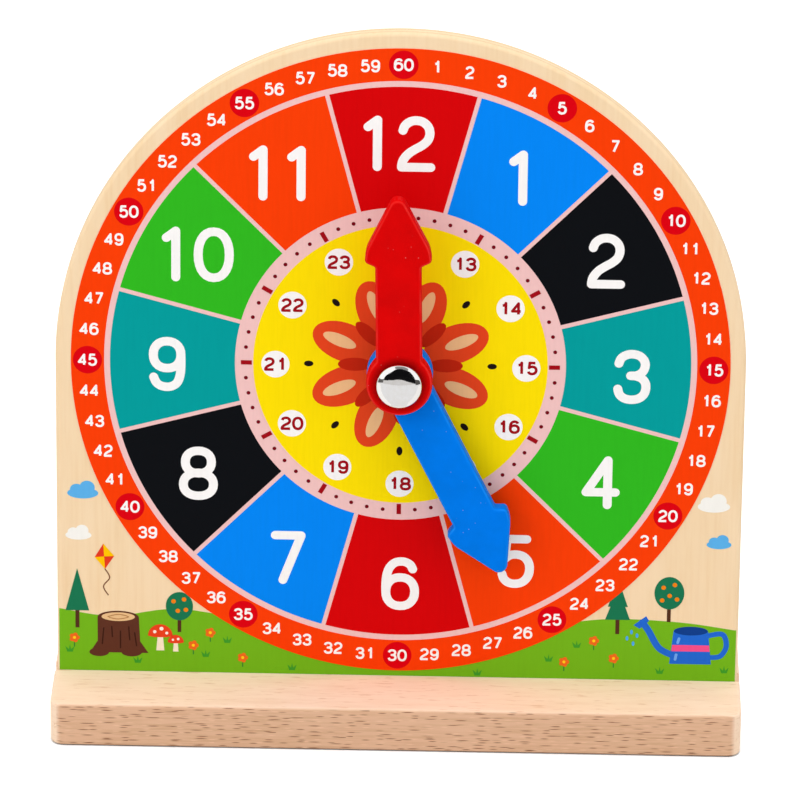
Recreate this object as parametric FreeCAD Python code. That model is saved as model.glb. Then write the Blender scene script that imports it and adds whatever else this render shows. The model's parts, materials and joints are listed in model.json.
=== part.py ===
import FreeCAD, Part
import math
import os

# Wooden teaching clock: an arched dial board stands in the groove of a base block and
# carries a short hour hand over a long minute hand, both turned by hand on one bolt.
# Millimetres and degrees. +Z is up and the dial faces -Y, so +X is to the viewer's
# right. The origin is the middle of the base block's underside.

# Dial board, 6 mm plywood, its arch concentric with the pivot
BOARD_WIDTH = 220.0
BOARD_THICKNESS = 6.0
BOARD_FRONT_ROUND = 1.2
BOARD_BACK_CHAMFER = 0.6
PIVOT_HEIGHT = 106.8
LEAN_ANGLE = 6.0

# Base block, a beech bar, with the groove that the board is pushed into
BASE_OVERHANG = 1.0
BASE_HEIGHT = 15.0
FRONT_LEDGE = 23.5
BACK_LEDGE = 23.5
GROOVE_DEPTH = 8.0
GROOVE_PLAY = 0.15
BASE_CORNER_ROUND = 4.2
BASE_TOP_ROUND = 1.0
BASE_BOTTOM_CHAMFER = 0.8

# Hands, 6 mm plywood arrows with a round hub
HOUR_HAND_LENGTH = 61.0
MINUTE_HAND_LENGTH = 74.1
HOUR_HEAD_LENGTH = 20.6
MINUTE_HEAD_LENGTH = 19.0
HOUR_HAND_ANGLE = -1.0
MINUTE_HAND_ANGLE = 153.0
HAND_THICKNESS = 6.0
HUB_DIAMETER = 21.0
SHAFT_WIDTH = 14.6
HEAD_WIDTH = 21.3
CHEEK_RISE = 4.3
CHEEK_ANGLE = 8.0
UNDERSIDE_ANGLE = 25.0
TIP_ROUND = 2.8
SHOULDER_ROUND = 9.0
BARB_ROUND = 1.5
NOTCH_ROUND = 0.9
HAND_EDGE_CHAMFER = 0.8

# Pivot bolt with a smooth domed head
BOLT_DIAMETER = 6.0
DOME_DIAMETER = 14.4
DOME_HEIGHT = 3.9
DOME_RIM = 2.0
BOLT_END_CHAMFER = 0.7
BOLT_END_STANDOUT = 1.6

# Fits along and around the bolt
HAND_BORE_CLEARANCE = 0.05
BOARD_HOLE_CLEARANCE = 0.1
WASHER_CLEARANCE = 0.2
THREAD_CLEARANCE = 0.02
HAND_PLAY = 0.1

# Bush and washer that space the hands
BUSH_LENGTH = 5.0
BUSH_WALL = 3.0
HAND_WASHER_DIAMETER = 15.0
HAND_WASHER_THICKNESS = 1.5

# Washers and self-locking nut behind the board
BACK_WASHER_DIAMETER = 18.0
BACK_WASHER_THICKNESS = 1.6
DISC_SPRING_DIAMETER = 12.5
DISC_SPRING_THICKNESS = 0.7
DISC_SPRING_RISE = 0.6
NUT_WALL = 2.0
NUT_HEX_HEIGHT = 4.2
NUT_CHAMFER_ANGLE = 30.0
COLLAR_HEIGHT = 1.8
COLLAR_WALL = 0.6
INSERT_WALL = 0.9
HEX_SIDES = 6

# A cut passes the face that it leaves by this much
OVERRUN = 2.0
# A round never takes more of the wall or corner that carries it than this share
ROUND_LIMIT_SHARE = 0.45
CORNER_LIMIT_SHARE = 0.9
# Two places closer than this share of the board's thickness count as one
SAME_PLACE_SHARE = 0.0001

BOLT_RADIUS = BOLT_DIAMETER / 2
SAME_PLACE = BOARD_THICKNESS * SAME_PLACE_SHARE
GROOVE_WIDTH = BOARD_THICKNESS + 2 * GROOVE_PLAY
LEAN = math.radians(LEAN_ANGLE)
BASE_LENGTH = BOARD_WIDTH + 2 * BASE_OVERHANG
BASE_DEPTH = FRONT_LEDGE + GROOVE_WIDTH / math.cos(LEAN) + BACK_LEDGE
BOARD_FOOT_Y = FRONT_LEDGE + GROOVE_PLAY / math.cos(LEAN) - BASE_DEPTH / 2

# The stack on the bolt, measured forwards from the board's front face
MINUTE_HAND_BACK = BUSH_LENGTH + HAND_PLAY
MINUTE_HAND_FRONT = MINUTE_HAND_BACK + HAND_THICKNESS
HAND_WASHER_BACK = MINUTE_HAND_FRONT + HAND_PLAY
HAND_WASHER_FRONT = HAND_WASHER_BACK + HAND_WASHER_THICKNESS
HOUR_HAND_BACK = HAND_WASHER_FRONT + HAND_PLAY
HOUR_HAND_FRONT = HOUR_HAND_BACK + HAND_THICKNESS
DOME_BACK = HOUR_HAND_FRONT + HAND_PLAY

# The stack behind the board, measured backwards from the board's front face
BACK_WASHER_END = BOARD_THICKNESS + BACK_WASHER_THICKNESS
DISC_SPRING_END = BACK_WASHER_END + DISC_SPRING_THICKNESS + DISC_SPRING_RISE
NUT_HEX_END = DISC_SPRING_END + NUT_HEX_HEIGHT
NUT_END = NUT_HEX_END + COLLAR_HEIGHT
BOLT_END = NUT_END + BOLT_END_STANDOUT


def vector(x, y, z):
    return FreeCAD.Vector(x, y, z)


def limited(radius, wall, share=ROUND_LIMIT_SHARE):
    """A round's radius, kept to its share of the wall that carries it."""
    return min(radius, wall * share)


def on_board(shape):
    """Moves a shape from the dial's frame to the clock's.

    In the dial's frame the pivot is at the origin on the board's front face, +Z runs up
    the board and +Y points backwards through it.
    """
    rise = vector(0, BOARD_FOOT_Y + PIVOT_HEIGHT * math.sin(LEAN),
                  BASE_HEIGHT + PIVOT_HEIGHT * math.cos(LEAN))
    turn = FreeCAD.Rotation(vector(1, 0, 0), -LEAN_ANGLE)
    placed = shape.copy()
    placed.Placement = FreeCAD.Placement(rise, turn).multiply(placed.Placement)
    return placed


def bore(radius, start, end):
    """A cutter along the bolt, from one distance behind the dial to another."""
    return Part.makeCylinder(radius, end - start, vector(0, start, 0), vector(0, 1, 0))


def turned(profile):
    """Revolves a closed profile of (radius, distance) points or edges about the bolt."""
    face = Part.Face(Part.Wire(profile))
    return face.revolve(vector(0, 0, 0), vector(0, 1, 0), 360)


def straight_profile(points):
    """The edges of a closed profile of straight lines through (radius, distance)."""
    corners = [vector(radius, distance, 0) for radius, distance in points]
    following = corners[1:] + corners[:1]
    return [Part.LineSegment(a, b).toShape() for a, b in zip(corners, following)]


def face_edges(solid, distances):
    """The outline edges of a plate's faces at the given distances along Y.

    A bore's edge is one closed circle with a single vertex, so it isn't among them.
    """
    found = []
    for edge in solid.Edges:
        ends = [vertex.Point.y for vertex in edge.Vertexes]
        for distance in distances:
            near = [abs(end - distance) < SAME_PLACE for end in ends]
            if len(ends) == 2 and all(near):
                found.append(edge)
    return found


def round_corners(solid, corners, radius):
    """Rounds the plate's corners that stand along Y at the given (x, z) places."""
    found = []
    for edge in solid.Edges:
        ends = [vertex.Point for vertex in edge.Vertexes]
        for x, z in corners:
            near = [math.hypot(end.x - x, end.z - z) < SAME_PLACE for end in ends]
            if len(ends) == 2 and all(near):
                found.append(edge)
    return solid.makeFillet(radius, found)


def dial_board():
    half = BOARD_WIDTH / 2
    foot = -(PIVOT_HEIGHT + GROOVE_DEPTH)
    left_foot = vector(-half, 0, foot)
    left_spring = vector(-half, 0, 0)
    crown = vector(0, 0, half)
    right_spring = vector(half, 0, 0)
    right_foot = vector(half, 0, foot)
    outline = Part.Wire([
        Part.LineSegment(left_foot, left_spring).toShape(),
        Part.Arc(left_spring, crown, right_spring).toShape(),
        Part.LineSegment(right_spring, right_foot).toShape(),
        Part.LineSegment(right_foot, left_foot).toShape(),
    ])
    plate = Part.Face(outline).extrude(vector(0, BOARD_THICKNESS, 0))
    hole = bore(BOLT_RADIUS + BOARD_HOLE_CLEARANCE, -OVERRUN, BOARD_THICKNESS + OVERRUN)
    plate = plate.cut(hole)
    front_round = limited(BOARD_FRONT_ROUND, BOARD_THICKNESS)
    plate = plate.makeFillet(front_round, face_edges(plate, [0]))
    back_chamfer = limited(BOARD_BACK_CHAMFER, BOARD_THICKNESS)
    plate = plate.makeChamfer(back_chamfer, face_edges(plate, [BOARD_THICKNESS]))
    return on_board(plate)


def base_block():
    corner = vector(-BASE_LENGTH / 2, -BASE_DEPTH / 2, 0)
    block = Part.makeBox(BASE_LENGTH, BASE_DEPTH, BASE_HEIGHT, corner)
    uprights = [edge for edge in block.Edges if edge.BoundBox.ZLength > BASE_HEIGHT / 2]
    block = block.makeFillet(limited(BASE_CORNER_ROUND, BASE_DEPTH), uprights)
    top = [edge for edge in block.Edges if edge.BoundBox.ZMin > BASE_HEIGHT - SAME_PLACE]
    tightest = min(BASE_CORNER_ROUND, BASE_HEIGHT * ROUND_LIMIT_SHARE)
    block = block.makeFillet(limited(BASE_TOP_ROUND, tightest, CORNER_LIMIT_SHARE), top)
    bottom = [edge for edge in block.Edges if edge.BoundBox.ZMax < SAME_PLACE]
    block = block.makeChamfer(limited(BASE_BOTTOM_CHAMFER, tightest, CORNER_LIMIT_SHARE), bottom)
    return block.cut(groove())


def groove():
    """The slanted cutter of the board's groove, which runs out at both ends."""
    foot = -(PIVOT_HEIGHT + GROOVE_DEPTH)
    length = BASE_LENGTH + 2 * OVERRUN
    height = GROOVE_DEPTH + BOARD_THICKNESS * math.sin(LEAN) + OVERRUN
    start = vector(-length / 2, -GROOVE_PLAY, foot)
    return on_board(Part.makeBox(length, GROOVE_WIDTH, height, start))


def hand(length, head_length, angle, back):
    """An arrow-headed hand that points at the given angle clockwise from twelve.

    The outline's corners are sharp here and rounded below. From the shaft, the underside of
    the head runs out to a barb, the cheek rises from the barb to the shoulder, and the side
    runs on from there as a tangent to the rounded tip.
    """
    shaft_x = SHAFT_WIDTH / 2
    barb_x = HEAD_WIDTH / 2
    barb_z = length - head_length
    notch_z = barb_z - (barb_x - shaft_x) * math.tan(math.radians(UNDERSIDE_ANGLE))
    shoulder_x = barb_x - CHEEK_RISE * math.tan(math.radians(CHEEK_ANGLE))
    shoulder_z = barb_z + CHEEK_RISE
    rise = length - TIP_ROUND - shoulder_z
    slope = math.atan2(shoulder_x, rise) - math.asin(TIP_ROUND / math.hypot(shoulder_x, rise))
    tip = shoulder_z + shoulder_x / math.tan(slope)
    right = [(shaft_x, 0), (shaft_x, notch_z), (barb_x, barb_z), (shoulder_x, shoulder_z)]
    outline = right + [(0, tip)] + [(-x, z) for x, z in reversed(right)]
    front = -(back + HAND_THICKNESS)
    corners = [vector(x, front, z) for x, z in outline]
    arrow = Part.Face(Part.makePolygon(corners + corners[:1]))
    arrow = arrow.extrude(vector(0, HAND_THICKNESS, 0))
    hub_radius = HUB_DIAMETER / 2
    plate = arrow.fuse(bore(hub_radius, front, -back)).removeSplitter()

    plate = round_corners(plate, [(0, tip)], TIP_ROUND)
    plate = round_corners(plate, [(-shoulder_x, shoulder_z), (shoulder_x, shoulder_z)],
                          SHOULDER_ROUND)
    plate = round_corners(plate, [(-barb_x, barb_z), (barb_x, barb_z)], BARB_ROUND)
    hub_meets_shaft = math.sqrt(hub_radius ** 2 - shaft_x ** 2)
    notches = [(side * shaft_x, z) for side in (-1, 1) for z in (notch_z, hub_meets_shaft)]
    step = limited(NOTCH_ROUND, min(HUB_DIAMETER, HEAD_WIDTH) / 2 - shaft_x)
    plate = round_corners(plate, notches, step)

    chamfer = limited(HAND_EDGE_CHAMFER, HAND_THICKNESS)
    chamfer = limited(chamfer, min(TIP_ROUND, BARB_ROUND), CORNER_LIMIT_SHARE)
    plate = plate.makeChamfer(chamfer, face_edges(plate, [front, -back]))
    plate = plate.cut(bore(BOLT_RADIUS + HAND_BORE_CLEARANCE, front - OVERRUN, -back + OVERRUN))
    plate.rotate(vector(0, 0, 0), vector(0, 1, 0), angle)
    return on_board(plate)


def pivot_bolt():
    dome_radius = DOME_DIAMETER / 2
    crown_height = DOME_HEIGHT - DOME_RIM
    sphere = (dome_radius ** 2 + crown_height ** 2) / (2 * crown_height)
    half_span = math.asin(dome_radius / sphere) / 2
    rim = -(DOME_BACK + DOME_RIM)
    top = -(DOME_BACK + DOME_HEIGHT)
    ball_centre = top + sphere
    crown = vector(0, top, 0)
    shoulder = vector(sphere * math.sin(half_span), ball_centre - sphere * math.cos(half_span), 0)
    rim_front = vector(dome_radius, rim, 0)
    rim_back = vector(dome_radius, -DOME_BACK, 0)
    neck = vector(BOLT_RADIUS, -DOME_BACK, 0)
    chamfer_start = vector(BOLT_RADIUS, BOLT_END - BOLT_END_CHAMFER, 0)
    chamfer_end = vector(BOLT_RADIUS - BOLT_END_CHAMFER, BOLT_END, 0)
    tail = vector(0, BOLT_END, 0)
    profile = [Part.Arc(crown, shoulder, rim_front).toShape()]
    path = [rim_front, rim_back, neck, chamfer_start, chamfer_end, tail, crown]
    for start, end in zip(path, path[1:]):
        profile.append(Part.LineSegment(start, end).toShape())
    return on_board(turned(profile))


def flat_ring(clearance, outer_radius, start, end):
    """A washer or bush on the bolt, from one distance to another."""
    ring = bore(outer_radius, start, end)
    hole = bore(BOLT_RADIUS + clearance, start - OVERRUN, end + OVERRUN)
    return on_board(ring.cut(hole))


def spacer_bush():
    return flat_ring(WASHER_CLEARANCE, BOLT_RADIUS + BUSH_WALL, -BUSH_LENGTH, 0)


def hand_washer():
    outer = HAND_WASHER_DIAMETER / 2
    return flat_ring(WASHER_CLEARANCE, outer, -HAND_WASHER_FRONT, -HAND_WASHER_BACK)


def back_washer():
    outer = BACK_WASHER_DIAMETER / 2
    return flat_ring(WASHER_CLEARANCE, outer, BOARD_THICKNESS, BACK_WASHER_END)


def disc_spring():
    """A coned spring washer, with its wide edge on the flat washer."""
    inner = BOLT_RADIUS + WASHER_CLEARANCE
    outer = DISC_SPRING_DIAMETER / 2
    wide = BACK_WASHER_END
    points = [(inner, wide + DISC_SPRING_RISE), (outer, wide),
              (outer, wide + DISC_SPRING_THICKNESS), (inner, DISC_SPRING_END)]
    return on_board(turned(straight_profile(points)))


def lock_nut():
    """A hexagon nut, chamfered on both faces, whose collar holds the insert."""
    flat = BOLT_RADIUS + NUT_WALL
    corner_radius = flat / math.cos(math.pi / HEX_SIDES)
    corners = []
    for step in range(HEX_SIDES + 1):
        turn = 2 * math.pi * step / HEX_SIDES
        corners.append(vector(corner_radius * math.cos(turn), DISC_SPRING_END,
                              corner_radius * math.sin(turn)))
    prism = Part.Face(Part.makePolygon(corners)).extrude(vector(0, NUT_HEX_HEIGHT, 0))
    bevel = (corner_radius - flat) * math.tan(math.radians(NUT_CHAMFER_ANGLE))
    envelope = turned(straight_profile([
        (0, DISC_SPRING_END), (flat, DISC_SPRING_END),
        (corner_radius, DISC_SPRING_END + bevel), (corner_radius, NUT_HEX_END - bevel),
        (flat, NUT_HEX_END), (0, NUT_HEX_END)]))
    insert_outer = BOLT_RADIUS + INSERT_WALL
    collar = bore(insert_outer + COLLAR_WALL, NUT_HEX_END, NUT_END)
    nut = prism.common(envelope).fuse(collar).removeSplitter()
    nut = nut.cut(bore(BOLT_RADIUS + THREAD_CLEARANCE, DISC_SPRING_END - OVERRUN, NUT_END))
    return on_board(nut.cut(bore(insert_outer, NUT_HEX_END, NUT_END + OVERRUN)))


def nut_insert():
    """The nylon ring in the nut's collar, which grips the thread."""
    return flat_ring(THREAD_CLEARANCE, BOLT_RADIUS + INSERT_WALL, NUT_HEX_END, NUT_END)


def main():
    nodes = {
        "dial_board": dial_board(),
        "base_block": base_block(),
        "hour_hand": hand(HOUR_HAND_LENGTH, HOUR_HEAD_LENGTH, HOUR_HAND_ANGLE, HOUR_HAND_BACK),
        "minute_hand": hand(MINUTE_HAND_LENGTH, MINUTE_HEAD_LENGTH, MINUTE_HAND_ANGLE,
                            MINUTE_HAND_BACK),
        "pivot_bolt": pivot_bolt(),
        "spacer_bush": spacer_bush(),
        "hand_washer": hand_washer(),
        "back_washer": back_washer(),
        "disc_spring": disc_spring(),
        "lock_nut": lock_nut(),
        "nut_insert": nut_insert(),
    }
    os.makedirs("parts", exist_ok=True)
    for name, shape in nodes.items():
        shape.exportStep("parts/" + name + ".step")
        box = shape.BoundBox
        print(name, "solids", len(shape.Solids), "valid", shape.isValid(),
              "volume", round(shape.Volume, 1), "size",
              [round(side, 2) for side in (box.XLength, box.YLength, box.ZLength)])


main()
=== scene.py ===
import json
import math

import bmesh
import bpy
from bpy.props import BoolProperty, FloatProperty, FloatVectorProperty, PointerProperty
from mathutils import Matrix, Vector
from mathutils.geometry import delaunay_2d_cdt


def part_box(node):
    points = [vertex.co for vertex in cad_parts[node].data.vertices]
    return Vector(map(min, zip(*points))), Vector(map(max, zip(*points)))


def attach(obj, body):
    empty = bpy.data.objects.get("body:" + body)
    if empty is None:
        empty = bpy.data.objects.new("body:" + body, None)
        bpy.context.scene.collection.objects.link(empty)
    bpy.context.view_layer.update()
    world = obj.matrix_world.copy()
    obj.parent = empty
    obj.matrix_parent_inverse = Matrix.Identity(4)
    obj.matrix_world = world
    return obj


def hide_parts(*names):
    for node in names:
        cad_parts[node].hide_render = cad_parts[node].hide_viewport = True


# The looks of a wooden teaching clock: an arched printed dial board in a beech base,
# with a red and a blue arrow hand on one chromed bolt.
#
# Pieces are drawn in the dial's own flat frame, in millimetres: x to the viewer's right,
# y up the board and z out of its front face, from the pivot. Angles on the dial run
# clockwise from twelve.

bl_info = {
    "name": "Teaching clock",
    "version": (1, 0, 0),
    "blender": (4, 5, 0),
    "location": "3D View > Sidebar > Clock",
    "description": "Makes the visible pieces of a wooden teaching clock round its CAD frame",
    "category": "Object",
}

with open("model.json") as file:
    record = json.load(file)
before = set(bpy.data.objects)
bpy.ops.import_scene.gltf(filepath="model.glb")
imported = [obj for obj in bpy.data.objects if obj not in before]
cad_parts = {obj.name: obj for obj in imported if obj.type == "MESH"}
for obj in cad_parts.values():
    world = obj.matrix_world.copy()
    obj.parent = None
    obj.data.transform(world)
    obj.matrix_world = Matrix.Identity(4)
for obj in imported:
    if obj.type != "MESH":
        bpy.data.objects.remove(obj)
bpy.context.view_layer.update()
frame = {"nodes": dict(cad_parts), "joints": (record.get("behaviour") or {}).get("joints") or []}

MM = 0.001
LEAN = math.radians(6.0)
MINUTE_HAND_MIDDLE = 8.1

minute_joint = next(j for j in frame["joints"] if j["name"] == "minute_hand_turn")
into_board = Vector(minute_joint["axis"])
PIVOT = Vector(minute_joint["pos_m"]) + into_board * MINUTE_HAND_MIDDLE * MM
DIAL_TO_WORLD = (Matrix.Translation(PIVOT)
                 @ Matrix.Rotation(math.radians(90) - LEAN, 4, "X")
                 @ Matrix.Scale(MM, 4))

# Board and base
BOARD_HALF_WIDTH = 110.0
BOARD_THICKNESS = 6.0
BOARD_FOOT = 114.8
BOARD_FOOT_ROUND = 1.7
BOARD_BACK_ROUND = 0.6
BOARD_BORE = 3.1
BASE_CORNER_ROUND = 4.2
BASE_BOTTOM_ROUND = 0.8
GROOVE_PLAY = 0.15
# A flat band of this width between a face and its rounded edge keeps the face's shading flat
FACE_BAND = 0.3

# Hands
HOUR_HAND = {"length": 61.0, "head": 20.6, "angle": -1.0, "back": 12.8}
MINUTE_HAND = {"length": 74.1, "head": 19.0, "angle": 153.0, "back": 5.1}
HAND_THICKNESS = 6.0
HUB_RADIUS = 10.5
SHAFT_HALF = 7.3
BARB_REACH = 10.65
CHEEK_RISE = 4.3
CHEEK_ANGLE = 8.0
UNDERSIDE_ANGLE = 25.0
TIP_ROUND = 2.8
SHOULDER_ROUND = 9.0
BARB_ROUND = 1.5
NOTCH_ROUND = 0.9
HAND_BORE = 3.05
# Depths under a hand's faces at which the painted highlight along the edges begins, is full, fades
# and ends
EDGE_HIGHLIGHT_DEPTHS = (0.62, 0.4, 0.14, 0.03)

# Bolt and what it carries, as heights from the board's front face
BOLT_RADIUS = 3.0
DOME_RADIUS = 7.2
DOME_BACK = 18.9
DOME_TOP = 22.8
DOME_RIM = 2.0
DOME_EDGE_ROUND = 0.7
DOME_FOOT_EASE = 0.15
CROWN_STEPS = 24
RIM_STEPS = 8
BOLT_END = -16.5
BOLT_END_CHAMFER = 0.7
THREAD_START = -6.3
THREAD_DEPTH = 0.55
THREAD_ROWS = 10
CHAMFER_ROWS = 7
# Over 1, so that the thread has narrow flat roots
THREAD_STEEPNESS = 1.15
LOOSE_RADIUS = 3.2
BUSH_RADIUS = 6.0
BUSH_TOP = 5.0
HAND_WASHER_RADIUS = 7.5
HAND_WASHER_SPAN = (11.2, 12.7)
BACK_WASHER_RADIUS = 9.0
BACK_WASHER_SPAN = (-7.6, -6.0)
SPRING_RADIUS = 6.25
SPRING_THICKNESS = 0.7
SPRING_RISE = 0.6
INSERT_RADIUS = 3.9
INSERT_SPAN = (-14.9, -13.1)
INSERT_BORE = 3.02
TURNED_STEPS = 72
BORE_STEPS = 48
# Edges of a shape that turn by more than this, in degrees, stay sharp
TURNED_SHARP = 50.0
NUT_SHARP = 25.0
PLATE_SHARP = 35.0

# Printed rings as radii, and the gap between two sectors
YELLOW_DISC = 46.9
PINK_DISC = 94.6
SECTOR_SPAN = (52.7, 92.5)
MINUTE_RING = (94.4, 105.0)
SECTOR_GAP = 1.35

# Marks on the inner ring: a dot for each minute and a tick for every fifth
DOT_RING = 49.45
DOT_RADIUS = 0.64
TICK_HALF_WIDTH = 0.72
TICK_SPAN = (47.3, 50.8)

# Small numbers and their badges. A stroke is a share of its number's height, and a breadth
# is how many times broader than an hour numeral a sign is drawn. The afternoon ring's middle
# lies a little off the pivot.
MINUTE_NUMBER_RING = 99.7
MINUTE_BADGE = 4.65
MINUTE_STROKE = 0.175
MINUTE_BREADTH = 1.08
AFTERNOON_RING = 39.95
AFTERNOON_MIDDLE = (0.15, -0.42)
AFTERNOON_BADGE = 4.5
AFTERNOON_STROKE = 0.195
AFTERNOON_BREADTH = 1.17
SIGN_GAP = 0.25

# The picture strip runs out over the board's rounded edge as far as its bleed
PICTURE_EDGE = 108.8
PICTURE_BLEED = 109.4
PICTURE_FOOT = -107.2
FLOWER_STALK = 3.2
FLOWER_PLACES = ((-104.5, -95.5), (-66.0, -97.5), (-50.0, -101.5), (-60.5, -93.0),
                 (54.0, -101.0), (63.5, -93.5), (70.0, -99.5))

# Heights of the ink layers' tops over the board, lowest first; each slab starts in the wood
INK_ROOT = -0.02
INK = {"far": 0.03, "ground": 0.05, "thing": 0.07, "detail": 0.09, "spot": 0.11,
       "ring": 0.13, "field": 0.15, "badge": 0.17, "figure": 0.19}


def linear(hexcode):
    """An sRGB hex colour as linear red, green and blue."""
    parts = [int(hexcode[i:i + 2], 16) / 255 for i in (1, 3, 5)]
    return tuple(p / 12.92 if p <= 0.04045 else ((p + 0.055) / 1.055) ** 2.4 for p in parts)


def colour_property(name, hexcode, description):
    return FloatVectorProperty(name=name, description=description, default=linear(hexcode),
                               subtype="COLOR", size=3, min=0.0, max=1.0)


class ClockWoodSettings(bpy.types.PropertyGroup):
    """Sizes and colours of the board and the base."""
    board_colour: colour_property("Board", "#F3D5AC", "Birch veneer of the dial board")
    ply_colour: colour_property("Cross plies", "#E2C79C", "End grain of the board's cross plies")
    top_colour: colour_property("Base's top", "#F9DBBE", "Beech of the base's top")
    # The front and back colour is darker than the top's: the pinker quartersawn beech, and painted
    # shade of faces turned from the light above
    side_colour: colour_property("Base's sides", "#DEB391", "Beech of the base's front and back")
    fleck_colour: colour_property("Flecks", "#7A4520", "Ray flecks of the beech")
    front_round: FloatProperty(name="Board's front round", default=1.2 * MM, unit="LENGTH",
                               description="Radius of the board's front edge")
    top_round: FloatProperty(name="Base's top round", default=1.0 * MM, unit="LENGTH",
                             description="Radius of the base's top edges")


class ClockHandSettings(bpy.types.PropertyGroup):
    """Sizes and colours of the two hands."""
    hour_colour: colour_property("Hour hand", "#DC0506", "Paint of the hour hand")
    minute_colour: colour_property("Minute hand", "#0079EA", "Paint of the minute hand")
    edge_round: FloatProperty(name="Edge round", default=1.1 * MM, unit="LENGTH",
                              description="Radius of the hands' sanded edges")


class ClockPrintSettings(bpy.types.PropertyGroup):
    """Colours and sizes of the printed dial and picture strip."""
    red: colour_property("Red", "#D60206", "Sectors 12 and 6")
    blue: colour_property("Blue", "#0186F5", "Sectors 1 and 7")
    black: colour_property("Black", "#0D0F13", "Sectors 2 and 8")
    teal: colour_property("Teal", "#019C9B", "Sectors 3 and 9")
    green: colour_property("Green", "#30B81F", "Sectors 4 and 10")
    orange: colour_property("Orange", "#F93E03", "Sectors 5 and 11 and the minute ring")
    pink: colour_property("Pink", "#F1C3C0", "Lines and inner minute ring")
    yellow: colour_property("Yellow", "#FEE003", "Middle disc")
    white: colour_property("White", "#FAF7F5", "Numerals and badges")
    badge: colour_property("Badge red", "#DC0010", "Badges of every fifth minute")
    dark_red: colour_property("Dark red", "#A00C18", "Five-minute marks and afternoon hours")
    maroon: colour_property("Maroon", "#760A1A", "Dots of the single minutes")
    hour_stroke: FloatProperty(name="Hour stroke", default=2.85 * MM, unit="LENGTH",
                               description="Width of the hour numerals' strokes")
    minute_height: FloatProperty(name="Minute height", default=4.15 * MM, unit="LENGTH",
                                 description="Height of the minute numbers")
    afternoon_height: FloatProperty(name="Afternoon height", default=4.6 * MM, unit="LENGTH",
                                    description="Height of the numbers 13 to 24")


class ClockMetalSettings(bpy.types.PropertyGroup):
    """Sizes and colours of the bolt, nut, washers and nylon parts."""
    chrome_colour: colour_property("Chrome", "#E6E6E8", "Plating of the domed head")
    zinc_colour: colour_property("Zinc", "#C2C5CB", "Plating of nut, washer and spring")
    nylon_colour: colour_property("Nylon", "#ECEAE2", "Bush, washer and nut insert")
    thread_pitch: FloatProperty(name="Thread pitch", default=1.0 * MM, unit="LENGTH",
                                description="Pitch of the bolt's thread")


class ClockStageSettings(bpy.types.PropertyGroup):
    """Light and floor of the picture."""
    fill: FloatProperty(name="Fill", default=0.79, min=0.0,
                        description="Strength of the even light from all round")
    key_power: FloatProperty(name="Key lamp", default=6.0, min=0.0, unit="POWER",
                             description="Power of the soft lamp at the upper left")
    top_power: FloatProperty(name="Top lamp", default=12.0, min=0.0, unit="POWER",
                             description="Power of the soft lamp overhead")
    side_power: FloatProperty(name="Side lamp", default=1.2, min=0.0, unit="POWER",
                              description="Power of the soft lamp at the right")
    pure_floor: BoolProperty(name="White floor", default=True,
                             description="Shows the floor as white paper with a faint shadow")


def add(tree, kind, values=None, output=0, **settings):
    """Adds a node with its settings, links or sets its inputs, and gives one of its outputs."""
    node = tree.nodes.new(kind)
    for name, value in settings.items():
        setattr(node, name, value)
    for socket, value in (values or {}).items():
        if isinstance(value, bpy.types.NodeSocket):
            tree.links.new(value, node.inputs[socket])
        else:
            node.inputs[socket].default_value = value
    return node.outputs[output] if node.outputs else None


def new_material(name, constants):
    """A material with one Principled shader, and its tree and that shader."""
    material = bpy.data.materials.new(name)
    material.use_nodes = True
    tree = material.node_tree
    shader = tree.nodes["Principled BSDF"]
    for socket, value in constants.items():
        shader.inputs[socket].default_value = value
    return material, tree, shader


def millimetres(tree, on_board, stretch=(1.0, 1.0, 1.0)):
    """Object coordinates in millimetres, along the board or along the world's axes.

    Along the board, X runs across it, Y back through it from its front face and Z up it.
    Each axis is then divided by its stretch.
    """
    values = {"Vector": add(tree, "ShaderNodeTexCoord", output="Object"), "Scale": (MM, MM, MM)}
    if on_board:
        values["Location"] = PIVOT
        values["Rotation"] = (-LEAN, 0.0, 0.0)
    flat = add(tree, "ShaderNodeMapping", values, vector_type="TEXTURE")
    return add(tree, "ShaderNodeVectorMath", {0: flat, 1: stretch}, operation="DIVIDE")


def rgba(colour):
    """A linear colour with its alpha."""
    return (*colour, 1.0)


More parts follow.
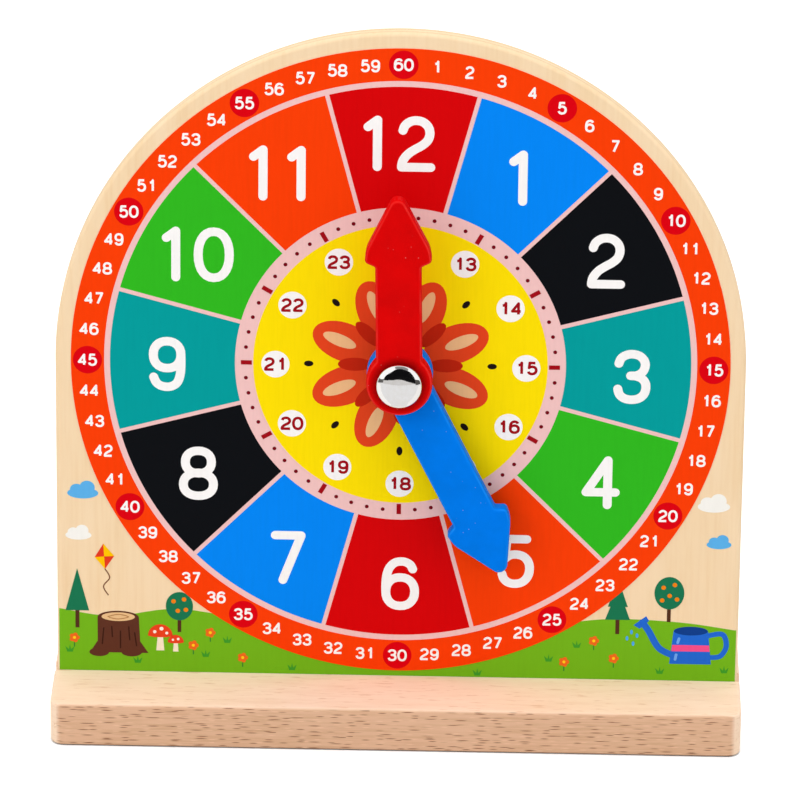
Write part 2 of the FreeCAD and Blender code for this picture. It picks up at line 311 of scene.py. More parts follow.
def birch_plywood(wood):
    """Sanded birch ply, unvarnished: a pale veneer with soft upright grain, and on the edge
    bands of pale long grain and slightly browner end grain."""
    material, tree, shader = new_material("birch plywood, sanded",
                                          {"Roughness": 0.5, "Specular IOR Level": 0.15})
    veneer = add(tree, "ShaderNodeTexNoise", {"Vector": millimetres(tree, True, (1.3, 1.4, 22.0)),
                                              "Scale": 1.0, "Detail": 4.0})
    broad = add(tree, "ShaderNodeTexNoise", {"Vector": millimetres(tree, True, (9.0, 9.0, 45.0)),
                                             "Scale": 1.0, "Detail": 2.0})
    pores = add(tree, "ShaderNodeTexNoise", {"Vector": millimetres(tree, True, (0.5, 0.35, 0.35)),
                                             "Scale": 1.0, "Detail": 2.0})
    streak = add(tree, "ShaderNodeMapRange", {0: veneer, 1: 0.42, 2: 0.7, 3: 0.0, 4: 0.45})
    face = add(tree, "ShaderNodeMix", {0: streak, 6: rgba(wood.board_colour),
                                       7: rgba(linear("#EAC594"))}, 2, data_type="RGBA")
    patch = add(tree, "ShaderNodeMapRange", {0: broad, 1: 0.35, 2: 0.7, 3: 0.0, 4: 0.5})
    face = add(tree, "ShaderNodeMix", {0: patch, 6: face, 7: rgba(linear("#F7DDBA"))}, 2,
               data_type="RGBA")
    speck = add(tree, "ShaderNodeMapRange", {0: pores, 1: 0.4, 2: 0.65, 3: 0.0, 4: 0.8})
    cross = add(tree, "ShaderNodeMix", {0: speck, 6: rgba(wood.ply_colour),
                                        7: rgba(linear("#CDAA7C"))}, 2, data_type="RGBA")
    depth = add(tree, "ShaderNodeSeparateXYZ", {0: millimetres(tree, True)}, "Y")
    through = add(tree, "ShaderNodeMapRange", {0: depth, 1: 0.0, 2: BOARD_THICKNESS})
    plies = add(tree, "ShaderNodeValToRGB", {0: through})
    ramp = plies.node.color_ramp
    for place, level in ((0.19, 0.0), (0.205, 1.0), (0.37, 0.7), (0.385, 0.0), (0.615, 0.0),
                         (0.63, 1.0), (0.795, 0.7), (0.81, 0.0)):
        ramp.elements.new(place).color = (level, level, level, 1.0)
    for end in (ramp.elements[0], ramp.elements[-1]):
        end.color = (0.0, 0.0, 0.0, 1.0)
    share = add(tree, "ShaderNodeMath", {0: plies, 1: 0.75}, operation="MULTIPLY")
    colour = add(tree, "ShaderNodeMix", {0: share, 6: face, 7: cross}, 2, data_type="RGBA")
    tree.links.new(colour, shader.inputs["Base Color"])
    relief = add(tree, "ShaderNodeMath", {0: veneer, 1: pores})
    bump = add(tree, "ShaderNodeBump", {"Height": relief, "Distance": 0.03 * MM})
    tree.links.new(bump, shader.inputs["Normal"])
    return material


def dashes(tree, length, height, thinness, rarity, shift):
    """Thin dashes along the bar: 1 in a dash and 0 round it.

    They lie scattered, one to a cell of the length and height given, in millimetres, and
    the thinness is how many times slimmer than its cell a dash is.
    """
    flat = add(tree, "ShaderNodeMapping", {"Vector": millimetres(tree, False),
                                           "Location": (shift, 0.0, 0.0),
                                           "Rotation": (math.pi / 2, 0.0, 0.0),
                                           "Scale": (length, height, 1.0)}, vector_type="TEXTURE")
    cells = add(tree, "ShaderNodeTexVoronoi", {"Vector": flat, "Scale": 1.0, "Randomness": 0.9},
                voronoi_dimensions="2D").node.outputs
    away = add(tree, "ShaderNodeVectorMath", {0: flat, 1: cells["Position"]},
               operation="SUBTRACT")
    slim = add(tree, "ShaderNodeVectorMath", {0: away, 1: (1.0, thinness, 0.0)},
               operation="MULTIPLY")
    distance = add(tree, "ShaderNodeVectorMath", {0: slim}, 1, operation="LENGTH")
    dash = add(tree, "ShaderNodeMapRange", {0: distance, 1: 0.12, 2: 0.32, 3: 1.0, 4: 0.0})
    chance = add(tree, "ShaderNodeSeparateColor", {0: cells["Color"]})
    chosen = add(tree, "ShaderNodeMapRange", {0: chance, 1: rarity, 2: rarity + 0.25})
    return add(tree, "ShaderNodeMath", {0: dash, 1: chosen}, operation="MULTIPLY")


def beech(wood):
    """Steamed beech, planed: pale and streaked on top, and on its front and back pinker brown with
    the short dark dashes that its rays show there, and darker there by painted shade of faces
    turned from the light above. Pale dashes among the rays are painted glints, and the foot's edge
    is darkened as a painted contact shadow."""
    material, tree, shader = new_material("beech, planed",
                                          {"Roughness": 0.5, "Specular IOR Level": 0.15})
    grain = add(tree, "ShaderNodeTexNoise", {"Vector": millimetres(tree, False, (16.0, 2.2, 0.7)),
                                             "Scale": 1.0, "Detail": 6.0, "Roughness": 0.6})
    broad = add(tree, "ShaderNodeTexNoise", {"Vector": millimetres(tree, False, (50.0, 8.0, 5.0)),
                                             "Scale": 1.0, "Detail": 2.0})
    streak = add(tree, "ShaderNodeTexNoise", {"Vector": millimetres(tree, False, (7.0, 1.0, 0.6)),
                                              "Scale": 1.0, "Detail": 3.0})
    depth = add(tree, "ShaderNodeSeparateXYZ", {0: millimetres(tree, False)}, "Y")
    out = add(tree, "ShaderNodeMath", {0: depth}, operation="ABSOLUTE")
    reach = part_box("base_block")[1].y / MM
    # The flat front and back take the darker colour with its painted shade; the rounded corners
    # keep the top's lighter one
    side = add(tree, "ShaderNodeMapRange", {0: out, 1: reach - 0.7, 2: reach - 0.1})

    fine = add(tree, "ShaderNodeMapRange", {0: grain, 1: 0.44, 2: 0.7, 3: 0.0, 4: 0.7})
    patch = add(tree, "ShaderNodeMapRange", {0: broad, 1: 0.35, 2: 0.7, 3: 0.0, 4: 0.5})
    line = add(tree, "ShaderNodeMapRange", {0: streak, 1: 0.6, 2: 0.68, 3: 0.0, 4: 0.6})
    top = add(tree, "ShaderNodeMix", {0: fine, 6: rgba(wood.top_colour),
                                      7: rgba(linear("#EFCBA9"))}, 2, data_type="RGBA")
    top = add(tree, "ShaderNodeMix", {0: patch, 6: top, 7: rgba(linear("#FCDFC4"))}, 2,
              data_type="RGBA")
    top = add(tree, "ShaderNodeMix", {0: line, 6: top, 7: rgba(linear("#DDB088"))}, 2,
              data_type="RGBA")
    front = add(tree, "ShaderNodeMix", {0: fine, 6: rgba(wood.side_colour),
                                        7: rgba(linear("#C4966F"))}, 2, data_type="RGBA")
    front = add(tree, "ShaderNodeMix", {0: patch, 6: front, 7: rgba(linear("#E6B898"))}, 2,
                data_type="RGBA")
    # Pale dashes among the rays: painted glints of their sheen
    light = add(tree, "ShaderNodeMath", {0: dashes(tree, 5.0, 1.5, 2.0, 0.4, 37.0), 1: 0.5},
                operation="MULTIPLY")
    front = add(tree, "ShaderNodeMix", {0: light, 6: front, 7: rgba(linear("#F2C8A6"))}, 2,
                data_type="RGBA")
    rays = add(tree, "ShaderNodeMath", {0: dashes(tree, 7.5, 1.9, 3.2, 0.3, 0.0),
                                        1: dashes(tree, 5.2, 1.6, 2.9, 0.45, 13.0)},
               operation="MAXIMUM")
    dark = add(tree, "ShaderNodeMath", {0: rays, 1: 0.9}, operation="MULTIPLY")
    front = add(tree, "ShaderNodeMix", {0: dark, 6: front, 7: rgba(wood.fleck_colour)}, 2,
                data_type="RGBA")
    colour = add(tree, "ShaderNodeMix", {0: side, 6: top, 7: front}, 2, data_type="RGBA")
    # Painted contact shadow: the foot's edge, up to about 0.75 mm over the floor, is darkened to a
    # near black brown
    height = add(tree, "ShaderNodeSeparateXYZ", {0: millimetres(tree, False)}, "Z")
    painted_foot_shadow = add(tree, "ShaderNodeMapRange", {0: height, 1: 0.35, 2: 0.75, 3: 0.9, 4: 0.0})
    colour = add(tree, "ShaderNodeMix", {0: painted_foot_shadow, 6: colour, 7: rgba(linear("#3A2A22"))}, 2,
                 data_type="RGBA")
    tree.links.new(colour, shader.inputs["Base Color"])
    relief = add(tree, "ShaderNodeMath", {0: grain, 1: rays}, operation="SUBTRACT")
    bump = add(tree, "ShaderNodeBump", {"Height": relief, "Distance": 0.03 * MM})
    tree.links.new(bump, shader.inputs["Normal"])
    return material


def painted_plywood(name, colour, shade, edge, back):
    """Satin lacquer sprayed over sanded ply: softly mottled, with a dusty orange peel and a few
    pale specks of dust. A pale line along the edges of the faces is a painted highlight, and a dark
    ring round the bolt is a painted shadow of the domed head."""
    material, tree, shader = new_material(name, {"Specular IOR Level": 0.01, "Sheen Weight": 0.01,
                                                 "Sheen Roughness": 0.4})
    mottle = add(tree, "ShaderNodeTexNoise", {"Vector": millimetres(tree, True, (7.0, 7.0, 7.0)),
                                              "Scale": 1.0, "Detail": 4.0})
    dust = add(tree, "ShaderNodeTexNoise", {"Vector": millimetres(tree, True, (0.45, 0.45, 0.45)),
                                            "Scale": 1.0, "Detail": 2.0})
    cells = add(tree, "ShaderNodeTexVoronoi", {"Vector": millimetres(tree, True, (1.9, 1.9, 1.9)),
                                               "Scale": 1.0}).node.outputs
    spot = add(tree, "ShaderNodeMapRange", {0: cells["Distance"], 1: 0.05, 2: 0.12, 3: 1.0,
                                            4: 0.0})
    chance = add(tree, "ShaderNodeSeparateColor", {0: cells["Color"]})
    chosen = add(tree, "ShaderNodeMapRange", {0: chance, 1: 0.62, 2: 0.8, 3: 0.0, 4: 0.22})
    speck = add(tree, "ShaderNodeMath", {0: spot, 1: chosen}, operation="MULTIPLY")
    soft = add(tree, "ShaderNodeMapRange", {0: mottle, 1: 0.35, 2: 0.7})
    paint = add(tree, "ShaderNodeMix", {0: soft, 6: rgba(colour), 7: rgba(linear(shade))}, 2,
                data_type="RGBA")
    paint = add(tree, "ShaderNodeMix", {0: speck, 6: paint, 7: rgba(linear("#F0C8C0"))}, 2,
                data_type="RGBA")
    board_place = millimetres(tree, True)
    across = add(tree, "ShaderNodeVectorMath", {0: board_place, 1: (1.0, 0.0, 1.0)},
                 operation="MULTIPLY")
    from_bolt = add(tree, "ShaderNodeVectorMath", {0: across}, 1, operation="LENGTH")
    # Painted shadow of the domed head: the paint darkens towards a quarter of its colour close
    # round the bolt
    painted_dome_shadow = add(tree, "ShaderNodeMapRange", {0: from_bolt, 1: DOME_RADIUS, 2: HUB_RADIUS - 0.4,
                                            3: 0.62, 4: 0.0}, interpolation_type="SMOOTHSTEP")
    dark = tuple(part * 0.25 for part in colour)
    paint = add(tree, "ShaderNodeMix", {0: painted_dome_shadow, 6: paint, 7: rgba(dark)}, 2, data_type="RGBA")
    # Painted highlight: a pale band in the edge colour on the rounded arris just under each face,
    # broken by the mottle
    depth = add(tree, "ShaderNodeSeparateXYZ", {0: board_place}, "Y")
    from_middle = add(tree, "ShaderNodeMath", {0: depth, 1: back + HAND_THICKNESS / 2})
    out = add(tree, "ShaderNodeMath", {0: from_middle}, operation="ABSOLUTE")
    start, full, fading, end = (HAND_THICKNESS / 2 - under for under in EDGE_HIGHLIGHT_DEPTHS)
    rise = add(tree, "ShaderNodeMapRange", {0: out, 1: start, 2: full})
    fall = add(tree, "ShaderNodeMapRange", {0: out, 1: fading, 2: end, 3: 1.0, 4: 0.0})
    thin = add(tree, "ShaderNodeMath", {0: rise, 1: fall}, operation="MULTIPLY")
    patchy = add(tree, "ShaderNodeMapRange", {0: mottle, 1: 0.35, 2: 0.6, 3: 0.1, 4: 0.55})
    painted_edge_highlight = add(tree, "ShaderNodeMath", {0: thin, 1: patchy}, operation="MULTIPLY")
    paint = add(tree, "ShaderNodeMix", {0: painted_edge_highlight, 6: paint, 7: rgba(linear(edge))}, 2,
                data_type="RGBA")
    tree.links.new(paint, shader.inputs["Base Color"])
    sheen = add(tree, "ShaderNodeMapRange", {0: mottle, 1: 0.3, 2: 0.7, 3: 0.3, 4: 0.44})
    tree.links.new(sheen, shader.inputs["Roughness"])
    bump = add(tree, "ShaderNodeBump", {"Height": dust, "Distance": 0.03 * MM})
    tree.links.new(bump, shader.inputs["Normal"])
    return material


def printed_ink(name, colour):
    """Screen ink on veneer: an even satin film through which the grain shows faintly."""
    material, tree, shader = new_material("printed ink, " + name,
                                          {"Roughness": 0.45, "Specular IOR Level": 0.02})
    grain = add(tree, "ShaderNodeTexNoise", {"Vector": millimetres(tree, True, (1.0, 1.2, 14.0)),
                                             "Scale": 1.0, "Detail": 4.0})
    through = add(tree, "ShaderNodeMapRange", {0: grain, 1: 0.42, 2: 0.7, 3: 0.0, 4: 0.5})
    deeper = tuple(part * 0.94 for part in colour)
    film = add(tree, "ShaderNodeMix", {0: through, 6: rgba(colour), 7: rgba(deeper)}, 2,
               data_type="RGBA")
    tree.links.new(film, shader.inputs["Base Color"])
    bump = add(tree, "ShaderNodeBump", {"Height": grain, "Distance": 0.01 * MM})
    tree.links.new(bump, shader.inputs["Normal"])
    return material


def chrome(metal):
    """Polished chrome plate on a pressed steel dome: a mirror with the faintest haze."""
    material, tree, shader = new_material("chrome plate, polished", {"Metallic": 1.0})
    haze = add(tree, "ShaderNodeTexNoise", {"Vector": millimetres(tree, True, (1.2, 1.2, 1.2)),
                                            "Scale": 1.0, "Detail": 4.0})
    polish = add(tree, "ShaderNodeMapRange", {0: haze, 1: 0.35, 2: 0.75, 3: 0.03, 4: 0.08})
    tree.links.new(polish, shader.inputs["Roughness"])
    tint = add(tree, "ShaderNodeMix", {0: haze, 6: rgba(metal.chrome_colour),
                                       7: rgba(linear("#DCD9D5"))}, 2, data_type="RGBA")
    tree.links.new(tint, shader.inputs["Base Color"])
    bump = add(tree, "ShaderNodeBump", {"Height": haze, "Distance": 0.004 * MM})
    tree.links.new(bump, shader.inputs["Normal"])
    return material


def zinc_plate(metal):
    """Bright zinc plate on rolled steel: a grey metal with a fine satin grain."""
    material, tree, shader = new_material("zinc plate, bright", {"Metallic": 1.0})
    grain = add(tree, "ShaderNodeTexNoise", {"Vector": millimetres(tree, True, (0.9, 0.9, 0.9)),
                                             "Scale": 1.0, "Detail": 5.0, "Roughness": 0.65})
    tint = add(tree, "ShaderNodeMix", {0: grain, 6: rgba(metal.zinc_colour),
                                       7: rgba(linear("#9DA0A6"))}, 2, data_type="RGBA")
    tree.links.new(tint, shader.inputs["Base Color"])
    satin = add(tree, "ShaderNodeMapRange", {0: grain, 1: 0.3, 2: 0.7, 3: 0.26, 4: 0.44})
    tree.links.new(satin, shader.inputs["Roughness"])
    bump = add(tree, "ShaderNodeBump", {"Height": grain, "Distance": 0.01 * MM})
    tree.links.new(bump, shader.inputs["Normal"])
    return material


def nylon(metal):
    """Moulded white nylon: milky, matt and very slightly uneven."""
    material, tree, shader = new_material("nylon, moulded", {"Roughness": 0.5})
    cloud = add(tree, "ShaderNodeTexNoise", {"Vector": millimetres(tree, True, (2.5, 2.5, 2.5)),
                                             "Scale": 1.0, "Detail": 3.0})
    tint = add(tree, "ShaderNodeMix", {0: cloud, 6: rgba(metal.nylon_colour),
                                       7: rgba(linear("#DEDACD"))}, 2, data_type="RGBA")
    tree.links.new(tint, shader.inputs["Base Color"])
    bump = add(tree, "ShaderNodeBump", {"Height": cloud, "Distance": 0.01 * MM})
    tree.links.new(bump, shader.inputs["Normal"])
    return material


def arc(x, y, radius, start, end, steps):
    """Records of a rounded corner, for place(): centre, radius and angle in degrees.

    A hollow corner has a negative radius, and its angle is still that of the outward normal.
    """
    return [(x, y, radius, math.radians(start + (end - start) * step / steps))
            for step in range(steps + 1)]


def corner(x, y, radius, start, end, steps):
    """Records of a sharp corner's rounding, from its sides' outward directions in degrees."""
    before, after = math.radians(start), math.radians(end)
    reach = radius / (1 + math.cos(after - before))
    return arc(x - reach * (math.cos(before) + math.cos(after)),
               y - reach * (math.sin(before) + math.sin(after)), radius, start, end, steps)


def place(record, inset):
    """The point of an outline's record when the outline is drawn in by the inset."""
    x, y, radius, angle = record
    return (x + (radius - inset) * math.cos(angle), y + (radius - inset) * math.sin(angle))


def rounded_edge(inset_from, height_from, radius, upward, steps=6):
    """A quarter round from a plate's side to its face, as (inset, height) pairs."""
    sign = 1 if upward else -1
    pairs = []
    for step in range(steps + 1):
        turn = math.pi / 2 * step / steps
        pairs.append((inset_from + radius * (1 - math.cos(turn)),
                      height_from + sign * radius * math.sin(turn)))
    return pairs


def filled(outer, holes=()):
    """Triangles of a loop of points less its holes, as indices into all the points in order."""
    loops, points = [], []
    for loop in (outer, *holes):
        loops.append(list(range(len(points), len(points) + len(loop))))
        points += [Vector(point) for point in loop]
    found = delaunay_2d_cdt(points, [], loops, 0, 1e-6, True)
    triangles = []
    for face, owners in zip(found[2], found[5]):
        if list(owners) == [0]:
            triangles.append([found[3][point][0] for point in face])
    return triangles


def plate_mesh(name, outline, back, front, back_round, front_round, bore=0.0):
    """A flat plate with rounded edges, from its outline's records, with an optional bore."""
    profile = [(back_round + FACE_BAND, back)]
    profile += rounded_edge(0.0, back + back_round, back_round, False)[::-1]
    profile += rounded_edge(0.0, front - front_round, front_round, True)
    profile.append((front_round + FACE_BAND, front))
    rings = [[place(record, inset) for record in outline] for inset, _ in profile]
    count = len(outline)
    verts = [(x, y, height) for ring, (_, height) in zip(rings, profile) for x, y in ring]
    faces = []
    for level in range(len(profile) - 1):
        low, high = level * count, (level + 1) * count
        for i in range(count):
            j = (i + 1) % count
            faces.append((low + i, low + j, high + j, high + i))
    steps = BORE_STEPS if bore else 0
    hole = [(bore * math.cos(2 * math.pi * i / steps), bore * math.sin(2 * math.pi * i / steps))
            for i in range(steps)]
    back_hole = len(verts)
    verts += [(x, y, back) for x, y in hole]
    front_hole = len(verts)
    verts += [(x, y, front) for x, y in hole]
    last = (len(profile) - 1) * count
    for triangle in filled(rings[-1], [hole] if bore else []):
        faces.append([last + i if i < count else front_hole + i - count for i in triangle])
    for triangle in filled(rings[0], [hole] if bore else []):
        faces.append([i if i < count else back_hole + i - count for i in triangle][::-1])
    for i in range(steps):
        j = (i + 1) % steps
        faces.append((back_hole + j, back_hole + i, front_hole + i, front_hole + j))
    mesh = bpy.data.meshes.new(name)
    mesh.from_pydata(verts, [], faces)
    return mesh


def turned_mesh(name, profile, relief=None, closed=False):
    """Turns a profile of (radius, height) points round the pivot, from its top outwards.

    A point on the axis becomes one vertex. The relief takes a share off the radius at a
    height and an angle. A closed profile is a ring's section.
    """
    bm = bmesh.new()
    rows = []
    for radius, height in profile:
        if radius == 0:
            rows.append([bm.verts.new((0, 0, height))] * TURNED_STEPS)
            continue
        row = []
        for step in range(TURNED_STEPS):
            angle = 2 * math.pi * step / TURNED_STEPS
            reach = radius - (relief(height, angle) if relief else 0)
            row.append(bm.verts.new((reach * math.cos(angle), reach * math.sin(angle), height)))
        rows.append(row)
    pairs = list(zip(rows, rows[1:]))
    if closed:
        pairs.append((rows[-1], rows[0]))
    for upper, lower in pairs:
        for i in range(TURNED_STEPS):
            j = (i + 1) % TURNED_STEPS
            corners = []
            for vert in (lower[i], lower[j], upper[j], upper[i]):
                if vert not in corners:
                    corners.append(vert)
            bm.faces.new(corners)
    mesh = bpy.data.meshes.new(name)
    bm.to_mesh(mesh)
    bm.free()
    return mesh


def smooth(mesh, sharp_angle=PLATE_SHARP):
    """Shades a mesh smooth but for its sharp edges."""
    mesh.shade_smooth()
    mesh.set_sharp_from_angle(angle=math.radians(sharp_angle))


def put(name, mesh, material, body, replaced=(), on_dial=True):
    """Finishes a piece: its place goes into its mesh, and it rides on its body."""
    if on_dial:
        mesh.transform(DIAL_TO_WORLD)
    mesh.name = name
    if material:
        mesh.materials.clear()
        mesh.materials.append(material)
    piece = bpy.data.objects.new(name, mesh)
    bpy.context.scene.collection.objects.link(piece)
    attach(piece, body)
    if replaced:
        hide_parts(*replaced)


def evaluated_mesh(piece):
    """The piece's mesh with its modifiers, and without the piece."""
    bpy.context.view_layer.update()
    graph = bpy.context.evaluated_depsgraph_get()
    mesh = bpy.data.meshes.new_from_object(piece.evaluated_get(graph))
    spare = piece.data
    bpy.data.objects.remove(piece)
    bpy.data.meshes.remove(spare)
    return mesh


def joined(polygons):
    """The union of overlapping polygons, as points and triangles."""
    points, loops = [], []
    for polygon in polygons:
        turns = zip(polygon, polygon[1:] + polygon[:1])
        if sum(ax * by - bx * ay for (ax, ay), (bx, by) in turns) < 0:
            polygon = polygon[::-1]
        loops.append(list(range(len(points), len(points) + len(polygon))))
        points += [Vector(point) for point in polygon]
    found = delaunay_2d_cdt(points, [], loops, 0, 1e-5, True)
    kept = [tuple(face) for face, owners in zip(found[2], found[5]) if len(owners)]
    return [tuple(point) for point in found[0]], kept


def moved(part, x, y):
    """A flat part shifted across and up the dial."""
    points, faces = part
    return [(x + px, y + py) for px, py in points], faces


def slab_mesh(name, parts, top, drop=None):
    """A thin closed slab of ink over each flat part, from in the wood to its top."""
    verts, faces = [], []
    for points, triangles in parts:
        upper = len(verts)
        sunk = [drop(x) if drop else 0.0 for x, _ in points]
        verts += [(x, y, top - fall) for (x, y), fall in zip(points, sunk)]
        lower = len(verts)
        verts += [(x, y, INK_ROOT - fall) for (x, y), fall in zip(points, sunk)]
        sides = {}
        for face in triangles:
            faces.append([upper + i for i in face])
            faces.append([lower + i for i in reversed(face)])
            for a, b in zip(face, face[1:] + face[:1]):
                sides[(a, b)] = True
        for a, b in sides:
            if (b, a) not in sides:
                faces.append((upper + a, lower + a, lower + b, upper + b))
    mesh = bpy.data.meshes.new(name)
    mesh.from_pydata(verts, [], faces)
    mesh.validate()
    return mesh


def band(inner, outer, steps=180):
    """A flat ring between two radii."""
    points, faces = [], []
    for step in range(steps):
        angle = math.radians(360 * step / steps)
        for radius in (inner, outer):
            points.append((radius * math.sin(angle), radius * math.cos(angle)))
    for step in range(steps):
        a, b = 2 * step, (2 * step + 2) % len(points)
        faces.append((b, b + 1, a + 1, a))
    return points, faces


def oval(x, y, across, up, steps=36):
    """An ellipse by its half widths."""
    angles = [2 * math.pi * step / steps for step in range(steps)]
    return [(x + across * math.cos(angle), y + up * math.sin(angle)) for angle in angles]


def smooth_line(knots, steps=6):
    """A smooth line through its knots, whose ends run straight."""
    ends = [knots[0]] + list(knots) + [knots[-1]]
    line = []
    for p, q, r, s in zip(ends, ends[1:], ends[2:], ends[3:]):
        for step in range(steps):
            t = step / steps
            line.append(tuple(
                0.5 * (2 * b + (c - a) * t + (2 * a - 5 * b + 4 * c - d) * t ** 2
                       + (3 * b - a - 3 * c + d) * t ** 3)
                for a, b, c, d in zip(p, q, r, s)))
    line.append(tuple(knots[-1]))
    return line


def ribbon(line, half, start_round=True, end_round=True, cap_steps=9):
    """The outline of a stroke along a line, with round or flat ends."""
    ways = []
    for (ax, ay), (bx, by) in zip(line, line[1:]):
        length = math.hypot(bx - ax, by - ay)
        ways.append(((bx - ax) / length, (by - ay) / length))
    left, right = [], []
    for i, (x, y) in enumerate(line):
        before, after = ways[max(i - 1, 0)], ways[min(i, len(ways) - 1)]
        tx, ty = before[0] + after[0], before[1] + after[1]
        size = math.hypot(tx, ty)
        tx, ty = tx / size, ty / size
        reach = half / max(0.6, tx * after[0] + ty * after[1])
        left.append((x - ty * reach, y + tx * reach))
        right.append((x + ty * reach, y - tx * reach))

    def cap(centre, way, wanted):
        if not wanted:
            return []
        facing = math.atan2(way[1], way[0])
        turns = [facing - math.pi / 2 + math.pi * i / cap_steps for i in range(1, cap_steps)]
        return [(centre[0] + half * math.cos(t), centre[1] + half * math.sin(t)) for t in turns]

    backwards = (-ways[0][0], -ways[0][1])
    return (right + cap(line[-1], ways[-1], end_round)
            + left[::-1] + cap(line[0], backwards, start_round))


# Numerals as centre lines, in millimetres of an hour numeral, from its lower left.
# A line has corners, a curve runs smoothly through its points, and a ring is
# (middle x, middle y, half width, half height).
DIGITS = {
    "0": (9.9, [("ring", (4.93, 7.7, 4.93, 7.7))]),
    "1": (3.0, [("line", [(0.0, 13.1), (3.0, 15.4)]), ("line", [(3.0, 15.4), (3.0, 0.0)])]),
    "2": (9.2, [("curve", [(0.35, 12.1), (1.0, 13.7), (2.6, 15.0), (4.6, 15.4), (6.7, 14.9),
                           (8.3, 13.3), (8.8, 11.2), (8.2, 9.0), (6.5, 7.3), (4.2, 5.9),
                           (2.1, 4.4), (0.5, 2.3), (0.0, 0.3)]),
                ("line", [(0.0, 0.0), (9.2, 0.0)])]),
    "3": (8.95, [("curve", [(0.2, 12.2), (0.9, 13.9), (2.4, 15.0), (4.4, 15.4), (6.6, 14.9),
                            (8.1, 13.5), (8.6, 11.8), (8.1, 9.9), (6.8, 8.6), (5.3, 8.1),
                            (4.0, 8.1)]),
                 ("curve", [(4.0, 8.1), (5.3, 8.05), (7.3, 7.4), (8.6, 6.0), (8.95, 4.1),
                            (8.4, 2.0), (6.8, 0.5), (4.5, 0.0), (2.2, 0.4), (0.6, 1.7),
                            (0.0, 3.6)])]),
    "4": (9.5, [("line", [(7.0, 15.2), (0.1, 4.3)]), ("line", [(0.1, 4.3), (9.5, 4.3)]),
                ("line", [(7.0, 15.2), (7.0, 0.0)])]),
    "5": (8.95, [("line", [(1.6, 15.4), (7.9, 15.4)]), ("line", [(1.6, 15.4), (0.9, 8.5)]),
                 ("curve", [(0.9, 8.5), (2.6, 9.8), (4.8, 10.1), (7.0, 9.4), (8.5, 7.6),
                            (8.95, 5.2), (8.4, 2.6), (6.8, 0.7), (4.5, 0.0), (2.2, 0.4),
                            (0.7, 1.7), (0.1, 3.4)])]),
    "6": (9.3, [("ring", (4.65, 4.95, 4.65, 4.95)),
                ("curve", [(8.6, 12.8), (7.8, 14.3), (6.3, 15.2), (4.7, 15.4), (2.8, 14.9),
                           (1.2, 13.3), (0.35, 11.0), (0.0, 8.2), (0.0, 5.0)])]),
    "7": (8.4, [("line", [(0.0, 15.4), (8.3, 15.4)]), ("line", [(8.3, 15.3), (2.5, 0.0)])]),
    "8": (9.7, [("ring", (4.85, 11.55, 4.18, 3.85)), ("ring", (4.85, 3.95, 4.83, 3.95))]),
    "9": (8.8, [("ring", (4.4, 10.85, 4.4, 4.55)),
                ("curve", [(8.8, 10.8), (8.8, 7.0), (8.5, 3.9), (7.6, 1.5), (6.0, 0.3),
                           (4.2, 0.0), (2.3, 0.4), (0.9, 1.5), (0.1, 3.3)])]),
}
# The small numbers' one has a flag that leaves its stem lower down
SMALL_ONE = (4.6, [("line", [(3.7, 15.4), (3.7, 0.0)]),
                   ("curve", [(3.7, 15.4), (3.0, 13.6), (1.6, 12.4), (0.0, 12.1)])])
DIGIT_HEIGHT = 15.4
DIGIT_CELL = 9.3
HOUR_PLACES = [("1", -11.0, 66.1), ("2", -0.35, 66.1), ("1", 34.95, 55.4), ("2", 60.2, 28.3),
               ("3", 69.3, -10.4), ("4", 59.8, -46.4), ("5", 33.35, -74.1), ("6", -3.9, -82.5),
               ("7", -39.6, -74.15), ("8", -69.2, -45.7), ("9", -78.7, -8.7),
               ("1", -74.5, 28.3), ("0", -64.4, 28.25), ("1", -46.95, 55.7), ("1", -34.95, 55.7)]
RING_POWER = 2.2
RING_STEPS = 14


def half_ring(x, y, across, up, upper):
    """Half of a slightly squared ring's centre line."""
    line = []
    for step in range(RING_STEPS + 1):
        angle = math.pi * step / RING_STEPS + (0 if upper else math.pi)
        cosine, sine = math.cos(angle), math.sin(angle)
        line.append((x + across * math.copysign(abs(cosine) ** (2 / RING_POWER), cosine),
                     y + up * math.copysign(abs(sine) ** (2 / RING_POWER), sine)))
    return line


def digit_lines(strokes):
    """The centre lines of a numeral's strokes."""
    lines = []
    for kind, data in strokes:
        if kind == "ring":
            lines += [half_ring(*data, True), half_ring(*data, False)]
        else:
            lines.append(smooth_line(data) if kind == "curve" else list(data))
    return lines


def digit(strokes, stroke, scale, round_ends, breadth=1.0):
    """One numeral as joined strokes; flat ends stay flat only where nothing meets them."""
    lines = [[(x * scale * breadth, y * scale) for x, y in line] for line in digit_lines(strokes)]

    def meets(end, own):
        others = [point for line in lines if line is not own for point in line]
        return any(math.dist(end, point) < stroke * 0.6 for point in others)

    outlines = []
    for line in lines:
        start, end = (round_ends or meets(tip, line) for tip in (line[0], line[-1]))
        outlines.append(ribbon(line, stroke / 2, start, end))
    return joined(outlines)


def number_parts(number, x, y, height, stroke, breadth):
    """A small bold number, with its middle at a place, and its signs made so much broader."""
    scale = (height - stroke) / DIGIT_HEIGHT
    advance = DIGIT_CELL * scale * breadth + stroke + SIGN_GAP
    parts = []
    for i, sign in enumerate(str(number)):
        width, strokes = SMALL_ONE if sign == "1" else DIGITS[sign]
        across = x + (i - (len(str(number)) - 1) / 2) * advance - width * scale * breadth / 2
        part = digit(strokes, stroke, scale, False, breadth)
        parts.append(moved(part, across, y - DIGIT_HEIGHT * scale / 2))
    return parts


